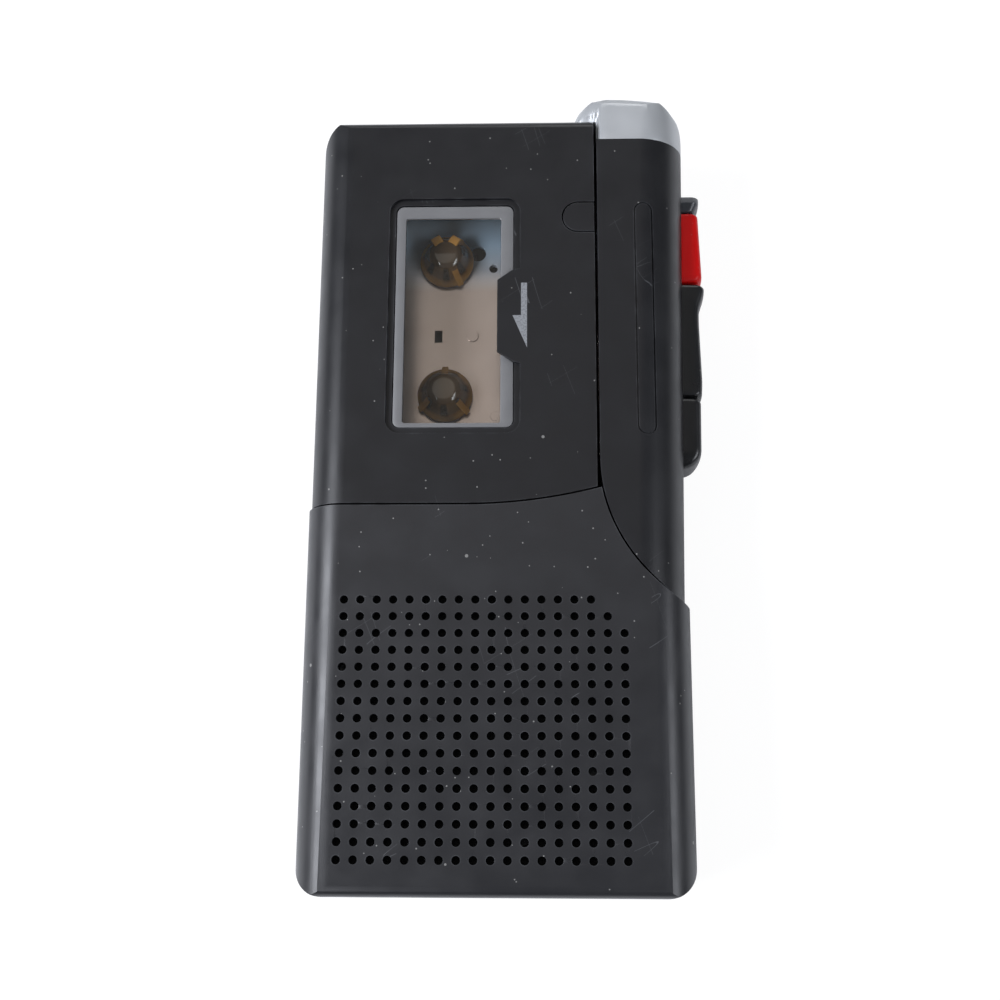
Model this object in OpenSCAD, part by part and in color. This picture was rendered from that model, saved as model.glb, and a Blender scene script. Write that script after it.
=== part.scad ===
// Microcassette recorder lying on its back: +Z leaves the front face, +Y points to the top end.
// The origin is the middle of the back face of the case.

/* [Case] */
// Width of the case, without the keys
body_w = 62; // [60:0.5:70]
// Length of the case from the bottom end to the top end of the lid
body_l = 129; // [127:0.5:140]
// Thickness from the back face to the front face
body_t = 24; // [24:0.5:28]
// Wall of the case mouldings
wall = 1.6; // [1.3:0.1:1.9]
// Height of the parting plane above the back face
split_z = 10; // [10:0.25:11]
// Rounding of the long front edges
front_r = 6; // [4:0.5:7]
// Rounding of the long rear edges
rear_r = 4; // [3:0.5:5]
// Rounding of the case corners seen from the front
corner_r = 5; // [3:0.5:6]
// Rounding of the edges at both ends
end_r = 1.8; // [1:0.1:2.4]
// Hairline gap between neighbouring mouldings
seam = 0.3; // [0.2:0.05:0.4]

/* [Cassette lid] */
// Share of the case's length that the lid takes, from the top end to its lower seam
lid_share = 0.52868; // [0.52:0.001:0.54]
// Thickness of the lid's front plate
lid_plate = 2; // [1.8:0.1:2.4]
// Step of the lid's left side behind the case side
lid_inset = 0.4; // [0.2:0.1:0.6]
// Gap between the lid and the control column
lid_gap = 0.5; // [0.4:0.05:0.8]
// Radius of the rising end of the lower seam
seam_arc_r = 85; // [70:1:110]
// Distance from the column seam to where the lower seam begins to rise
seam_arc_run = 21.7; // [18:0.5:24]
// Radius of the lid's hinge pins
hinge_pin_r = 0.4; // [0.3:0.05:0.5]
// Length of each fixed hinge knuckle
knuckle_l = 5; // [4:0.5:7]
// Distance of each knuckle from the lower and upper end of the lid
knuckle_in = 7; // [6:0.5:9]

/* [Window] */
// Width of the window frame
window_w = 19.8; // [18:0.1:21]
// Length of the window frame
window_l = 39.2; // [37:0.1:41]
// Distance of the window's left edge from the case side
window_in = 13.8; // [13:0.1:15]
// Distance of the window's upper edge from the top end
window_top = 15.9; // [15:0.1:18]
// Width of the frosted border
window_border = 1.6; // [1.2:0.1:2]
// Depth of the clear pane below its border
window_drop = 1.6; // [1.2:0.1:1.8]
// Width of the shallow recess round the window
recess_rim = 1.1; // [0.8:0.1:1.3]
// Depth of that recess
recess_depth = 0.6; // [0.4:0.05:0.8]

/* [Control column] */
// Distance of the lid seam from the right side of the case
column_w = 14.3; // [14:0.1:15]
// Rounding of the column's outer front edge
column_r = 8; // [6:0.5:9]
// Lean of the column's side, in degrees
column_lean = 1; // [0:0.1:1.2]
// Step of the column's foot behind the case side
column_foot = 0.8; // [0.4:0.1:1]
// Radius of the curved lower seam of the column
column_arc_r = 27; // [24:0.5:30]
// Distance of that curve's start from the lower seam of the lid
column_arc_up = 8; // [7:0.1:9]
// Width of the pill-shaped groove
pill_w = 3.15; // [2.5:0.05:3.6]
// Length of the pill-shaped groove
pill_l = 40.8; // [36:0.2:42]
// Width and depth of the cut groove
groove = 0.25; // [0.2:0.05:0.35]

/* [Microphone cap] */
// Length of the cap below the top end of the lid
cap_skirt = 3.9; // [3.4:0.1:4.5]
// Reach of the cap past the top end of the lid
cap_reach = 4.2; // [4:0.1:6]
// Overhang of the cap to the left of the column seam
cap_left = 5.9; // [2.5:0.1:6.5]
// Rounding of the cap's left front edge
cap_left_r = 6.5; // [5:0.5:7]
// Rounding of the cap's end
cap_end_r = 2.2; // [1.5:0.1:3]
// Radius of the cap's far right corner, seen from the front
cap_right_corner_r = 6.5; // [4.5:0.1:7]
// Radius of the cap's far left corner, seen from the front
cap_left_corner_r = 6; // [2.5:0.1:6.5]
// Radius of the far corner of the cap's cavity
cap_cavity_r = 3.3; // [2:0.1:3.5]
// Radius of the microphone capsule
mic_r = 4.2; // [3.4:0.1:4.3]

/* [Grille] */
// Share of the case's width that the grille takes
grille_share = 0.7129; // [0.66:0.001:0.73]
// Pitch of the sound holes along the case
hole_dy = 2.658; // [2.4:0.02:2.7]
// Diameter of a sound hole
hole_d = 1.35; // [1:0.05:1.5]
// Columns of sound holes
hole_columns = 18; // [10:1:18]
// Rows of sound holes
hole_rows = 16; // [8:1:16]
// Distance of the lowest row from the bottom end
hole_up = 5.5; // [5:0.1:7]
// Shift of the grille to the left of the case's middle
hole_shift = 1.95; // [0:0.05:2.5]

/* [Keys] */
// Travel of the record, play and stop keys
key_travel = 2; // [1.6:0.1:2.2]
// Reach of the keys past the column's side
key_out = 3.3; // [2.8:0.1:4]
// Front face of the keys above the deck
key_rise = 5.3; // [5:0.1:5.8]
// Rear face of the keys below the deck
key_drop = 3.7; // [3.2:0.1:4]
// Distance of the pause slider's upper end from the microphone cap
pause_down = 6.7; // [5:0.1:7]
// Length of the stop key
stop_l = 12; // [11:0.1:14]
// Length of the play key
play_l = 20; // [18:0.1:21]
// Length of the record key
record_l = 12.7; // [12:0.1:14]
// Length of the pause slider's knob
pause_l = 3.2; // [2.6:0.1:3.6]
// Travel of the pause slider
pause_travel = 1.5; // [1:0.1:1.6]
// Gap between neighbouring keys
key_gap = 0.5; // [0.4:0.05:0.7]
// Gap between a key and its slot
key_slack = 0.3; // [0.2:0.05:0.4]

/* [Cassette and deck] */
// Length of the cassette that the bay takes
cassette_l = 50; // [49:0.5:51]
// Width of that cassette
cassette_w = 33; // [32:0.5:33.5]
// Clearance round the cassette
bay_gap = 0.6; // [0.4:0.1:0.8]
// Distance of the bay's middle from the top end
bay_top = 33.5; // [33:0.1:34]
// Distance of the spindle line from the case side
spindle_in = 21.6; // [21:0.1:22]
// Distance between the spindles
spindle_pitch = 24.8; // [24:0.1:26]
// Distance of the spindle line from the cassette's left edge
spindle_edge = 16.6; // [16:0.1:17]
// Thickness of the deck plate
deck_t = 1; // [0.8:0.1:1.2]
// Radius of a spindle's base disc
spindle_r = 4.4; // [4:0.1:4.8]
// Height of a spindle's tip above the deck
spindle_h = 4.9; // [4.5:0.1:6]
// Radius of the fixed spindle pins
pin_r = 1; // [0.8:0.05:1.1]

/* [Drive] */
// Module of the gear teeth
gear_module = 0.4; // [0.38:0.01:0.42]
// Teeth of the pinion on the capstan
pinion_teeth = 10; // [10:1:11]
// Teeth of the idler gear
idler_teeth = 20; // [18:1:20]
// Teeth of the spindle gears
spindle_teeth = 26; // [24:1:26]
// Direction from the take-up spindle to the capstan, in degrees below the X axis
train_angle = 22; // [18:0.5:26]
// Face width of the gears
gear_w = 1.8; // [1.4:0.1:2]
// Radius of the capstan shaft
capstan_r = 0.75; // [0.6:0.05:0.9]
// Radius of the flywheel
flywheel_r = 9; // [8:0.1:9.2]
// Thickness of the flywheel
flywheel_t = 3.4; // [3:0.1:3.6]
// Share of the room between the cells and the lid that the motor can fills
motor_share = 0.7045; // [0.6:0.0005:0.72]
// Height of the motor can
motor_h = 9.6; // [8:0.1:10]
// Radius of the motor pulley
pulley_r = 2.4; // [2.2:0.1:2.6]
// Side of the square belt
belt_t = 1; // [0.8:0.05:1.1]
// Radius of the pinch roller
roller_r = 3; // [2.6:0.1:3.2]
// Running clearance of shafts and pins
run_gap = 0.05; // [0.03:0.01:0.08]

/* [Power and sound] */
// Diameter of a cell
cell_d = 14.2; // [14:0.1:14.5]
// Room for the walls, contacts and springs at the ends of the cells
cell_room = 12; // [11:0.1:14]
// Thickness of the battery door
door_t = 1.6; // [1.4:0.1:1.8]
// Radius of the loudspeaker
speaker_r = 17.4; // [14:0.1:17.6]
// Depth of the loudspeaker
speaker_h = 5.2; // [4.8:0.1:5.4]
// Thickness of the circuit board
board_t = 1.2; // [0.8:0.1:1.6]
// Radius of the volume dial
dial_r = 8.3; // [8:0.1:8.6]
// How far the volume dial stands out of the case side
dial_out = 0.2; // [0.1:0.1:0.8]
// Thickness of the volume dial
dial_t = 2.4; // [2:0.1:2.6]
// Bore of the earphone and microphone jacks
jack_d = 3.6; // [3.55:0.05:3.7]
// Travel of the tape speed switch
switch_travel = 4; // [3:0.5:4]

/* [Hidden] */
$fn = 48;
clear = 0.2;
side = body_w / 2;
end = body_l / 2;
seam_x = side - column_w;
lid_x0 = -side + lid_inset;
lid_x1 = seam_x - lid_gap;
lid_l = lid_share * body_l;
lid_y0 = end - lid_l;
seam_arc_x = seam_x - seam_arc_run;
column_arc_y = lid_y0 + column_arc_up;
cap_y0 = end - cap_skirt;
cap_y1 = end + cap_reach;
inner_z = body_t - wall;
floor_z = wall;

// Microphone in the cap's hollow
boot_t = 1;
cap_inner_x = seam_x + wall;
mic_x = (cap_inner_x + side - column_foot) / 2;
mic_z = split_z + wall + mic_r + boot_t + clear;

// Hinge of the lid, in the middle of its left wall
hinge_x = lid_x0 + wall / 2;
hinge_z = split_z + wall / 2;
rim_z = split_z - seam;
knuckle_y = [lid_y0 + knuckle_in, end - knuckle_in - knuckle_l];

// Window and catch of the lid
window_x0 = -side + window_in;
window_x1 = window_x0 + window_w;
window_y1 = end - window_top;
window_y0 = window_y1 - window_l;
window_r = 1.2;
border_z1 = body_t - recess_depth;
border_t = 0.7;
border_z0 = border_z1 - border_t;
pane_t = 0.7;
pane_z0 = border_z0 - window_drop;
catch_l = 5.3;
catch_w = 5.2;
catch_y = window_y1 - catch_w / 2 + clear;
lid_corner_r = 1.5;

// Deck, bay and spindles
deck_z0 = split_z + clear;
deck_z1 = deck_z0 + deck_t;
deck_x0 = -side + wall + 2.4;
deck_x1 = side - 4.2;
bay_y = end - bay_top;
spindle_x = -side + spindle_in;
take_y = bay_y - spindle_pitch / 2;
supply_y = bay_y + spindle_pitch / 2;
bay_x0 = spindle_x - spindle_edge - bay_gap;
bay_x1 = bay_x0 + cassette_w + 2 * bay_gap;
bay_y0 = bay_y - cassette_l / 2 - bay_gap;
bay_y1 = bay_y + cassette_l / 2 + bay_gap;
frame_t = 1.2;
frame_h = 8.6;
deck_below = 6.2;
deck_y0 = bay_y0 - frame_t - deck_below;
deck_y1 = cap_y0 - wall - 1;

// Gear train: take-up spindle, idler and capstan lie on one line
pinion_r = gear_module * pinion_teeth / 2;
idler_r = gear_module * idler_teeth / 2;
spindle_gear_r = gear_module * spindle_teeth / 2;
mesh_slack = 0.1;
idler_reach = spindle_gear_r + idler_r + mesh_slack;
capstan_reach = idler_reach + idler_r + pinion_r + mesh_slack;
idler_x = spindle_x + idler_reach * cos(train_angle);
idler_y = take_y - idler_reach * sin(train_angle);
capstan_x = spindle_x + capstan_reach * cos(train_angle);
capstan_y = take_y - capstan_reach * sin(train_angle);
gear_z1 = deck_z0 - 0.7;
gear_z0 = gear_z1 - gear_w;
flywheel_z1 = gear_z0 - 0.8;
flywheel_z0 = flywheel_z1 - flywheel_t;
shaft_foot_z = floor_z + 0.5;
belt_z = (flywheel_z0 + flywheel_z1) / 2;
groove_depth = 0.8;
idler_pin_r = 0.8;
bush_r = 2.4 * capstan_r;
bush_rim_r = 3.2 * capstan_r;

// Phases that set a tooth of one gear into a gap of the next along the train line
takeup_phase = -train_angle;
idler_phase = 180 - train_angle + 180 / idler_teeth;
pinion_phase = 180 - train_angle + (idler_teeth % 2 == 0 ? 0 : 180 / pinion_teeth);

// Cells and the room between them and the bulkhead of the front housing
cell_r = cell_d / 2;
cell_l = body_w - cell_room;
cell_z = door_t + clear + cell_r;
cell_y = [-end + wall + cell_r + 0.5, -end + wall + 3 * cell_r + 1];
partition_y = cell_y[1] + cell_r + 0.6;
partition_t = 1.2;
low_room = lid_y0 - wall - partition_y - partition_t;

// Motor beside that bulkhead
motor_r = motor_share * low_room / 2;
motor_x = -side + wall + motor_r + 1.9;
motor_y = lid_y0 - wall - motor_r - 0.4;

// Keys, stacked down the column's side from the cap, and the room between their flanges and the bay
pause_y0 = cap_y0 - pause_down - pause_l;
record_y0 = pause_y0 - key_gap - record_l;
play_y0 = record_y0 - key_gap - play_l;
stop_y0 = play_y0 - key_gap - stop_l;
flange_t = 1;
drive_room = column_side(stop_y0) - wall - key_slack - flange_t - bay_x1;
lead_share = 0.059;
head_share = 0.474;
stem_share = 0.148;

// Head plate and what it carries
head_z0 = deck_z1 + clear;
head_z1 = head_z0 + 0.8;
head_x0 = bay_x1 + lead_share * drive_room;
head_w = head_share * drive_room;
head_x1 = head_x0 + head_w;
head_y0 = capstan_y - 5;
head_y1 = bay_y + 15;
roller_x = capstan_x + capstan_r + roller_r + key_travel + run_gap;
axle_r = 0.6;
arm_t = 0.8;
stud_r = 1;
stud_x = head_x1 - 2.6;
stud_y = [head_y0 + 2.4, head_y1 - 2.4];

// What the keys carry and pass through
slot_y0 = stop_y0 - key_slack;
slot_y1 = pause_y0 + pause_l + pause_travel + key_slack;
key_z0 = deck_z1 - key_drop;
key_z1 = deck_z1 + key_rise;
flange_rise = 0.9;
stem_z0 = head_z0;
stem_z1 = stem_z0 + 1.5;
stem_w = 5;
stem_tail = 0.5;
bracket_x0 = head_x1 + stem_share * drive_room;
bracket_t = 0.8;
bracket_h = 5.4;
spring_r = 1.1;
spring_wire_r = 0.22;
spring_z = stem_z1 + spring_r + spring_wire_r + 0.35;

// Cell contacts, loudspeaker and circuit board
contact_t = 0.4;
contact_x = side - wall - clear;
door_half = side - rear_r - clear;
door_tongue = 1;
lip = 0.6;
contact_bump = 1.5;
cell_x0 = -contact_x + contact_t + contact_bump;
cell_spring_l = 2 * (contact_x - contact_t) - contact_bump - cell_l;
grille_x = -hole_shift;
hole_dx = grille_share * body_w / (hole_columns - 1);
grille_y0 = -end + hole_up;
grille_y = grille_y0 + (hole_rows - 1) * hole_dy / 2;
cloth_t = 0.2;
speaker_z1 = inner_z - cloth_t;
speaker_z0 = speaker_z1 - speaker_h;
speaker_ledge = speaker_r - 2;
board_z0 = split_z - 2;
board_z1 = board_z0 + board_t;
board_x0 = grille_x;
board_x1 = side - wall - 1.8;
board_y0 = partition_y + partition_t + 0.7;
board_y1 = lid_y0 - 3.2;
dial_x = side + dial_out - dial_r;
dial_y = lid_y0 - dial_r;
pot_t = 0.8;
dial_z1 = board_z0 - pot_t - clear;
dial_z0 = dial_z1 - dial_t;
pot_r = 5.2;
pot_shaft_r = 1.2;

// Jacks in the top end, side switch and screws
jack_x = [spindle_x - 9.6, spindle_x, spindle_x + 9.6];
jack_z = floor_z + 3.7;
jack_nose_r = 2.8;
jack_half = 3.6;
jack_deep = 11;
switch_y = bay_y - 6;
switch_l = 10;
switch_z = floor_z + 4;
screw_r = 0.9;
screw_head_r = 1.8;
screw_head_t = 1.2;
post_r = 2.3;
low_screw = [side - 4.8, partition_y + partition_t + post_r + 0.6];
top_screw = [side - 6.5, deck_y1 - post_r];
bay_screw = [deck_x0 + post_r + 0.4, bay_y1 - 9.6];
deck_screw_y = bay_y0 - frame_t - screw_head_r - clear;
deck_screw = [[deck_x0 + post_r + 0.4, deck_screw_y], [capstan_x + 9.12, deck_screw_y]];
board_post = [[board_x0 + 2.4, board_y0 + 2.4], [board_x0 + 10, board_y1 - 2.6]];

// Shapes used by many pieces

module corner_cut(r, turn) {
  rotate(turn) difference() {
    square(r + 1);
    circle(r);
  }
}

// Rectangle with radii for its lower left, lower right, upper right and upper left corner
module rounded_rect(lo, hi, radii) {
  places = [
    [lo.x + radii[0], lo.y + radii[0], 180],
    [hi.x - radii[1], lo.y + radii[1], 270],
    [hi.x - radii[2], hi.y - radii[2], 0],
    [lo.x + radii[3], hi.y - radii[3], 90]
  ];
  difference() {
    translate(lo) square(hi - lo);
    for (i = [0:3])
      if (radii[i] > 0)
        translate([places[i].x, places[i].y]) corner_cut(radii[i], places[i].z);
  }
}

module along_x(x0, x1) {
  translate([x0, 0, 0]) rotate([90, 0, 90]) linear_extrude(x1 - x0) children();
}

module along_y(y0, y1) {
  translate([0, y1, 0]) rotate([90, 0, 0]) linear_extrude(y1 - y0) children();
}

module along_z(z0, z1) {
  translate([0, 0, z0]) linear_extrude(z1 - z0) children();
}

module block(lo, hi) {
  translate(lo) cube(hi - lo);
}

module disc(x, y, z0, z1, r) {
  translate([x, y, z0]) cylinder(r = r, h = z1 - z0);
}

module bar_y(x, z, y0, y1, r) {
  translate([x, y0, z]) rotate([-90, 0, 0]) cylinder(r = r, h = y1 - y0);
}

module bar_x(y, z, x0, x1, r) {
  translate([x0, y, z]) rotate([0, 90, 0]) cylinder(r = r, h = x1 - x0);
}

// Block rounded in its end, plan and side outlines
module rounded_block(lo, hi, end_radii, plan_radii, side_radii) {
  intersection() {
    along_y(lo.y, hi.y) rounded_rect([lo.x, lo.z], [hi.x, hi.z], end_radii);
    along_z(lo.z, hi.z) rounded_rect([lo.x, lo.y], [hi.x, hi.y], plan_radii);
    along_x(lo.x, hi.x) rounded_rect([lo.y, lo.z], [hi.y, hi.z], side_radii);
  }
}

function shrunk(radii, inset) = [for (r = radii) r > 0 ? max(r - inset, 0.3) : 0];

module case_form(inset, x0 = -side) {
  rounded_block(
    [x0 + inset, -end + inset, inset], [side - inset, end - inset, body_t - inset],
    shrunk([rear_r, rear_r, front_r, front_r], inset),
    shrunk([corner_r, corner_r, corner_r, corner_r], inset),
    shrunk([end_r, end_r, end_r, end_r], inset));
}

// Outlines of the front mouldings

module column_plan(grow) {
  translate([seam_x - grow, column_arc_y]) square([column_w * 2, body_l]);
  translate([seam_x + column_arc_r, column_arc_y]) circle(column_arc_r + grow, $fn = 128);
}

module below_seam_arc(gap) {
  translate([seam_arc_x, lid_y0 + seam_arc_r]) difference() {
    translate([0, -seam_arc_r - wall]) square([seam_arc_run + column_w, column_arc_up + 2 * wall]);
    circle(seam_arc_r - gap, $fn = 256);
  }
}

module housing_plan() {
  difference() {
    union() {
      translate([-body_w, -body_l]) square([2 * body_w, body_l + lid_y0]);
      below_seam_arc(0);
    }
    column_plan(seam);
  }
}

module lid_plan() {
  difference() {
    rounded_rect([-body_w, lid_y0 + seam], [lid_x1, end], [0, 0, lid_corner_r, 0]);
    below_seam_arc(seam);
  }
}

function column_side(y) = side - column_foot + (y - lid_y0 + column_arc_r) * tan(column_lean);

module column_form(inset, y1, left, left_r = 0, far_r = 0, z0 = 0, corners = [0, 0]) {
  foot = [side - column_foot, lid_y0 - column_arc_r, 0];
  translate(foot) rotate([0, 0, -column_lean]) translate(-foot)
    rounded_block(
      [left + inset, lid_y0 - 1.5 * column_arc_r, z0 + inset],
      [side - column_foot - inset, y1 - inset, body_t - inset],
      shrunk([0, 0, column_r, left_r], inset),
      shrunk([0, 0, corners[0], corners[1]], inset),
      shrunk([0, far_r, far_r, 0], inset));
}

// Case mouldings

module screw_post(at, z1) {
  disc(at.x, at.y, 0, z1, post_r);
}

module screw_hole(at, z1) {
  disc(at.x, at.y, -1, z1, screw_r + clear / 2);
  disc(at.x, at.y, -1, wall, screw_head_r + clear);
}

module key_slot(z0, z1) {
  block([side - 2 * wall, slot_y0, z0], [side + column_w, slot_y1, z1]);
}

module rear_case() {
  color("#303032") difference() {
    union() {
      intersection() {
        difference() {
          case_form(0);
          case_form(wall);
        }
        block([-body_w, -body_l, -1], [body_w, body_l, split_z]);
      }
      intersection() {
        case_form(0);
        union() {
          block([-side, partition_y, 0], [side, partition_y + partition_t, split_z]);
          screw_post(low_screw, split_z);
          screw_post([-low_screw.x, low_screw.y], split_z);
          screw_post(top_screw, deck_z0);
          screw_post(bay_screw, deck_z0);
          for (at = deck_screw) screw_post(at, deck_z0);
          for (at = board_post) disc(at.x, at.y, 0, board_z0, post_r - 0.5);
        }
      }
      for (y = [take_y, supply_y]) disc(spindle_x, y, floor_z - 0.1, gear_z0 - clear, 2 * pin_r);
      disc(capstan_x, capstan_y, floor_z - 0.1, flywheel_z0 - clear, 2.6 * capstan_r);
      for (y = knuckle_y) {
        bar_y(hinge_x, hinge_z, y, y + knuckle_l, wall / 2);
        block([hinge_x - wall / 2, y, split_z - 2], [hinge_x + wall / 2, y + knuckle_l, hinge_z]);
      }
    }
    // Lowered rim under the lid
    difference() {
      block([-body_w, lid_y0, rim_z], [lid_x1, body_l, split_z + 0.01]);
      for (y = knuckle_y)
        block([hinge_x - wall / 2, y, 0], [hinge_x + wall / 2, y + knuckle_l, body_t]);
      for (at = concat([bay_screw], deck_screw)) disc(at.x, at.y, 0, body_t, post_r + clear);
    }
    for (y = knuckle_y) bar_y(hinge_x, hinge_z, y - 1, y + knuckle_l + 1, hinge_pin_r + run_gap);
    // Opening and rabbet for the battery door
    block([-door_half, -body_l, -1], [door_half, partition_y - clear, lip]);
    block([-door_half - door_tongue, -body_l, lip],
      [door_half + door_tongue, partition_y - clear, door_t + clear]);
    for (at = [low_screw, [-low_screw.x, low_screw.y], top_screw, bay_screw]) screw_hole(at, body_t);
    for (at = deck_screw) disc(at.x, at.y, floor_z, body_t, screw_r);
    for (at = board_post) disc(at.x, at.y, floor_z, body_t, screw_r);
    for (y = [take_y, supply_y]) disc(spindle_x, y, floor_z, body_t, pin_r);
    disc(capstan_x, capstan_y, shaft_foot_z - clear, body_t, capstan_r + run_gap);
    for (x = jack_x) bar_y(x, jack_z, end - 2 * wall, end + 1, jack_nose_r + clear / 2);
    key_slot(key_z0 - key_slack, body_t);
    block([side - 2 * wall, dial_y - 7, dial_z0 - clear], [side + 1, dial_y + 7, dial_z1 + clear]);
    block([-side - 1, switch_y - 1.5 - clear, switch_z - 1.5 - clear],
      [-side + wall + 0.1, switch_y + 1.5 + switch_travel + clear, switch_z + 1.5 + clear]);
  }
}

// Short ribs that hold the loudspeaker's rim
module speaker_ribs(grow) {
  inner_r = speaker_r + clear - grow;
  intersection() {
    difference() {
      disc(grille_x, grille_y, speaker_z1 - 2, inner_z + 0.1, inner_r + 1.2 + 2 * grow);
      disc(grille_x, grille_y, 0, body_t, inner_r);
    }
    union() {
      for (turn = [-25, 180, 230, 300])
        translate([grille_x, grille_y, 0]) rotate(turn)
          block([0, -4 - grow, 0], [2 * speaker_r, 4 + grow, body_t]);
    }
  }
}

module front_housing() {
  hole_x0 = grille_x - (hole_columns - 1) * hole_dx / 2;
  color("#343436") difference() {
    union() {
      intersection() {
        difference() {
          case_form(0);
          intersection() {
            case_form(wall);
            along_z(0, body_t) difference() {
              translate([-body_w, -body_l]) square([2 * body_w, body_l + lid_y0 - wall]);
              column_plan(seam + wall);
            }
          }
        }
        along_z(split_z, body_t) housing_plan();
      }
      for (x = [-low_screw.x, low_screw.x]) disc(x, low_screw.y, split_z, inner_z + 0.1, post_r);
      speaker_ribs(0);
    }
    for (x = [-low_screw.x, low_screw.x]) disc(x, low_screw.y, split_z - 1, inner_z - 2, screw_r);
    block([deck_x0 - 1, lid_y0 - 2 * wall, 0], [motor_x + motor_r + 2, lid_y0 + wall, deck_z1 + clear]);
    block([deck_x0 - 1, deck_y0 - seam, 0], [side, column_arc_y, deck_z1 + clear]);
    for (at = deck_screw) disc(at.x, at.y, 0, deck_z1 + screw_head_t + clear, screw_head_r + clear);
    for (row = [0:hole_rows - 1]) {
      dropped = max(0, row - (hole_rows - 3));
      for (column = [0:hole_columns - 1 - dropped])
        disc(hole_x0 + column * hole_dx, grille_y0 + row * hole_dy, inner_z - 1, body_t + 1, hole_d / 2);
    }
  }
}

module pill(x, y0, y1, r) {
  translate([x - r, y0 + r]) square([2 * r, y1 - y0 - 2 * r]);
  for (y = [y0 + r, y1 - r]) translate([x, y]) circle(r);
}

module control_column() {
  pill_x = seam_x + 7.7;
  pill_y1 = cap_y0 - 11.8;
  color("#2e2e30") difference() {
    union() {
      difference() {
        intersection() {
          column_form(0, cap_y0 + column_r, seam_x - column_w);
          along_z(split_z, body_t + 1) intersection() {
            column_plan(0);
            translate([0, -body_l]) square([body_w, body_l + cap_y0]);
          }
        }
        intersection() {
          column_form(wall, cap_y0 + column_r, seam_x - column_w);
          along_z(0, body_t) intersection() {
            column_plan(-wall);
            translate([0, -body_l]) square([body_w, body_l + cap_y0 - wall]);
          }
        }
        // Way through to the tape bay, below the column's left wall
        block([seam_x - 1, deck_y0 - seam, 0], [seam_x + 3 * wall, cap_y0 - wall, key_z1 + 2]);
      }
      disc(top_screw.x, top_screw.y, deck_z1, inner_z + 0.1, post_r);
    }
    disc(top_screw.x, top_screw.y, 0, inner_z - 2, screw_r);
    key_slot(0, key_z1 + key_slack);
    // Groove of even depth that follows the column's rounding
    difference() {
      along_z(body_t - wall, body_t + 1) difference() {
        pill(pill_x, pill_y1 - pill_l, pill_y1, pill_w / 2);
        pill(pill_x, pill_y1 - pill_l + groove, pill_y1 - groove, pill_w / 2 - groove);
      }
      column_form(groove, cap_y0 + column_r, seam_x - column_w);
    }
  }
}

module microphone_cap() {
  sound_slot = 1;
  cap_z0 = split_z - 5;
  cap_x0 = seam_x - cap_left;
  color("#aab0b6") difference() {
    intersection() {
      column_form(0, cap_y1, cap_x0, cap_left_r, cap_end_r, cap_z0, [cap_right_corner_r, cap_left_corner_r]);
      block([0, cap_y0, 0], [body_w, body_l, body_t]);
    }
    // Cut round the lid's corner and the rear case
    block([0, 0, 0], [seam_x, end + seam, body_t + 1]);
    block([0, 0, -1], [body_w, end, split_z]);
    intersection() {
      column_form(wall, cap_y1, cap_x0, cap_left_r, cap_end_r, cap_z0, [wall + cap_cavity_r, wall + cap_cavity_r]);
      block([0, 0, 0], [body_w, body_l, body_t]);
      block([cap_inner_x, cap_y0 - 1, split_z + wall], [body_w, body_l, body_t]);
    }
    for (i = [-2:2])
      block([mic_x + 2 * sound_slot * i - sound_slot / 2, cap_y1 - 2 * wall, mic_z - 3],
        [mic_x + 2 * sound_slot * i + sound_slot / 2, cap_y1 + 1, mic_z + 3]);
  }
}

// Cassette lid and what rides on it

module window_outline(grow) {
  r = window_r + grow;
  rounded_rect([window_x0 - grow, window_y0 - grow], [window_x1 + grow, window_y1 + grow], [r, r, r, r]);
}

// Tongue of the lid that reaches over the window's right border
module window_tongue() {
  tongue_x = window_x1 - 2.7;
  tongue_y = [window_y1 - 29.1, window_y1 - 26.3, window_y1 - 13.7, window_y1 - 11.2];
  polygon([
    [window_x1 + 3 * window_r, tongue_y[0]],
    [window_x1, tongue_y[0] + 1],
    [tongue_x, tongue_y[1]],
    [tongue_x, tongue_y[2]],
    [window_x1, tongue_y[3] - 0.6],
    [window_x1 + 3 * window_r, tongue_y[3]]
  ]);
}

module catch_plan(grow) {
  r = catch_w / 2 + grow;
  translate([lid_x1 - catch_l + catch_w / 2, catch_y]) circle(r);
  translate([lid_x1 - catch_l + catch_w / 2, catch_y - r]) square([catch_l - catch_w / 2, 2 * r]);
}

module cassette_lid() {
  color("#2d2d2e") difference() {
    union() {
      difference() {
        intersection() {
          case_form(0, lid_x0);
          along_z(split_z + seam, body_t) lid_plan();
        }
        intersection() {
          case_form(wall, lid_x0);
          block([-body_w, -body_l, 0], [body_w, end - wall, body_t - lid_plate]);
        }
        block([-body_w, -body_l, 0], [lid_x0 + wall, body_l, hinge_z]);
      }
      bar_y(hinge_x, hinge_z, lid_y0 + seam, end - corner_r, wall / 2);
    }
    // Notches for the fixed knuckles
    for (y = knuckle_y) {
      bar_y(hinge_x, hinge_z, y - seam, y + knuckle_l + seam, wall / 2 + seam);
      bar_y(hinge_x, hinge_z, y - 3, y + knuckle_l + 3, hinge_pin_r);
    }
    along_z(border_z1, body_t + 1) difference() {
      window_outline(recess_rim);
      window_tongue();
    }
    along_z(border_z0, border_z1 + 0.01) window_outline(0.1);
    along_z(0, border_z1 + 0.01) window_outline(0.1 - window_border / 2);
    along_z(0, body_t + 1) catch_plan(clear);
  }
}

module lid_window() {
  color("#9a9ca0", 0.6) difference() {
    union() {
      along_z(border_z0, border_z1 - 0.05) window_outline(0);
      along_z(pane_z0, border_z0) window_outline(-window_border / 2);
    }
    along_z(pane_z0 + pane_t, body_t) window_outline(-window_border);
  }
}

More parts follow.
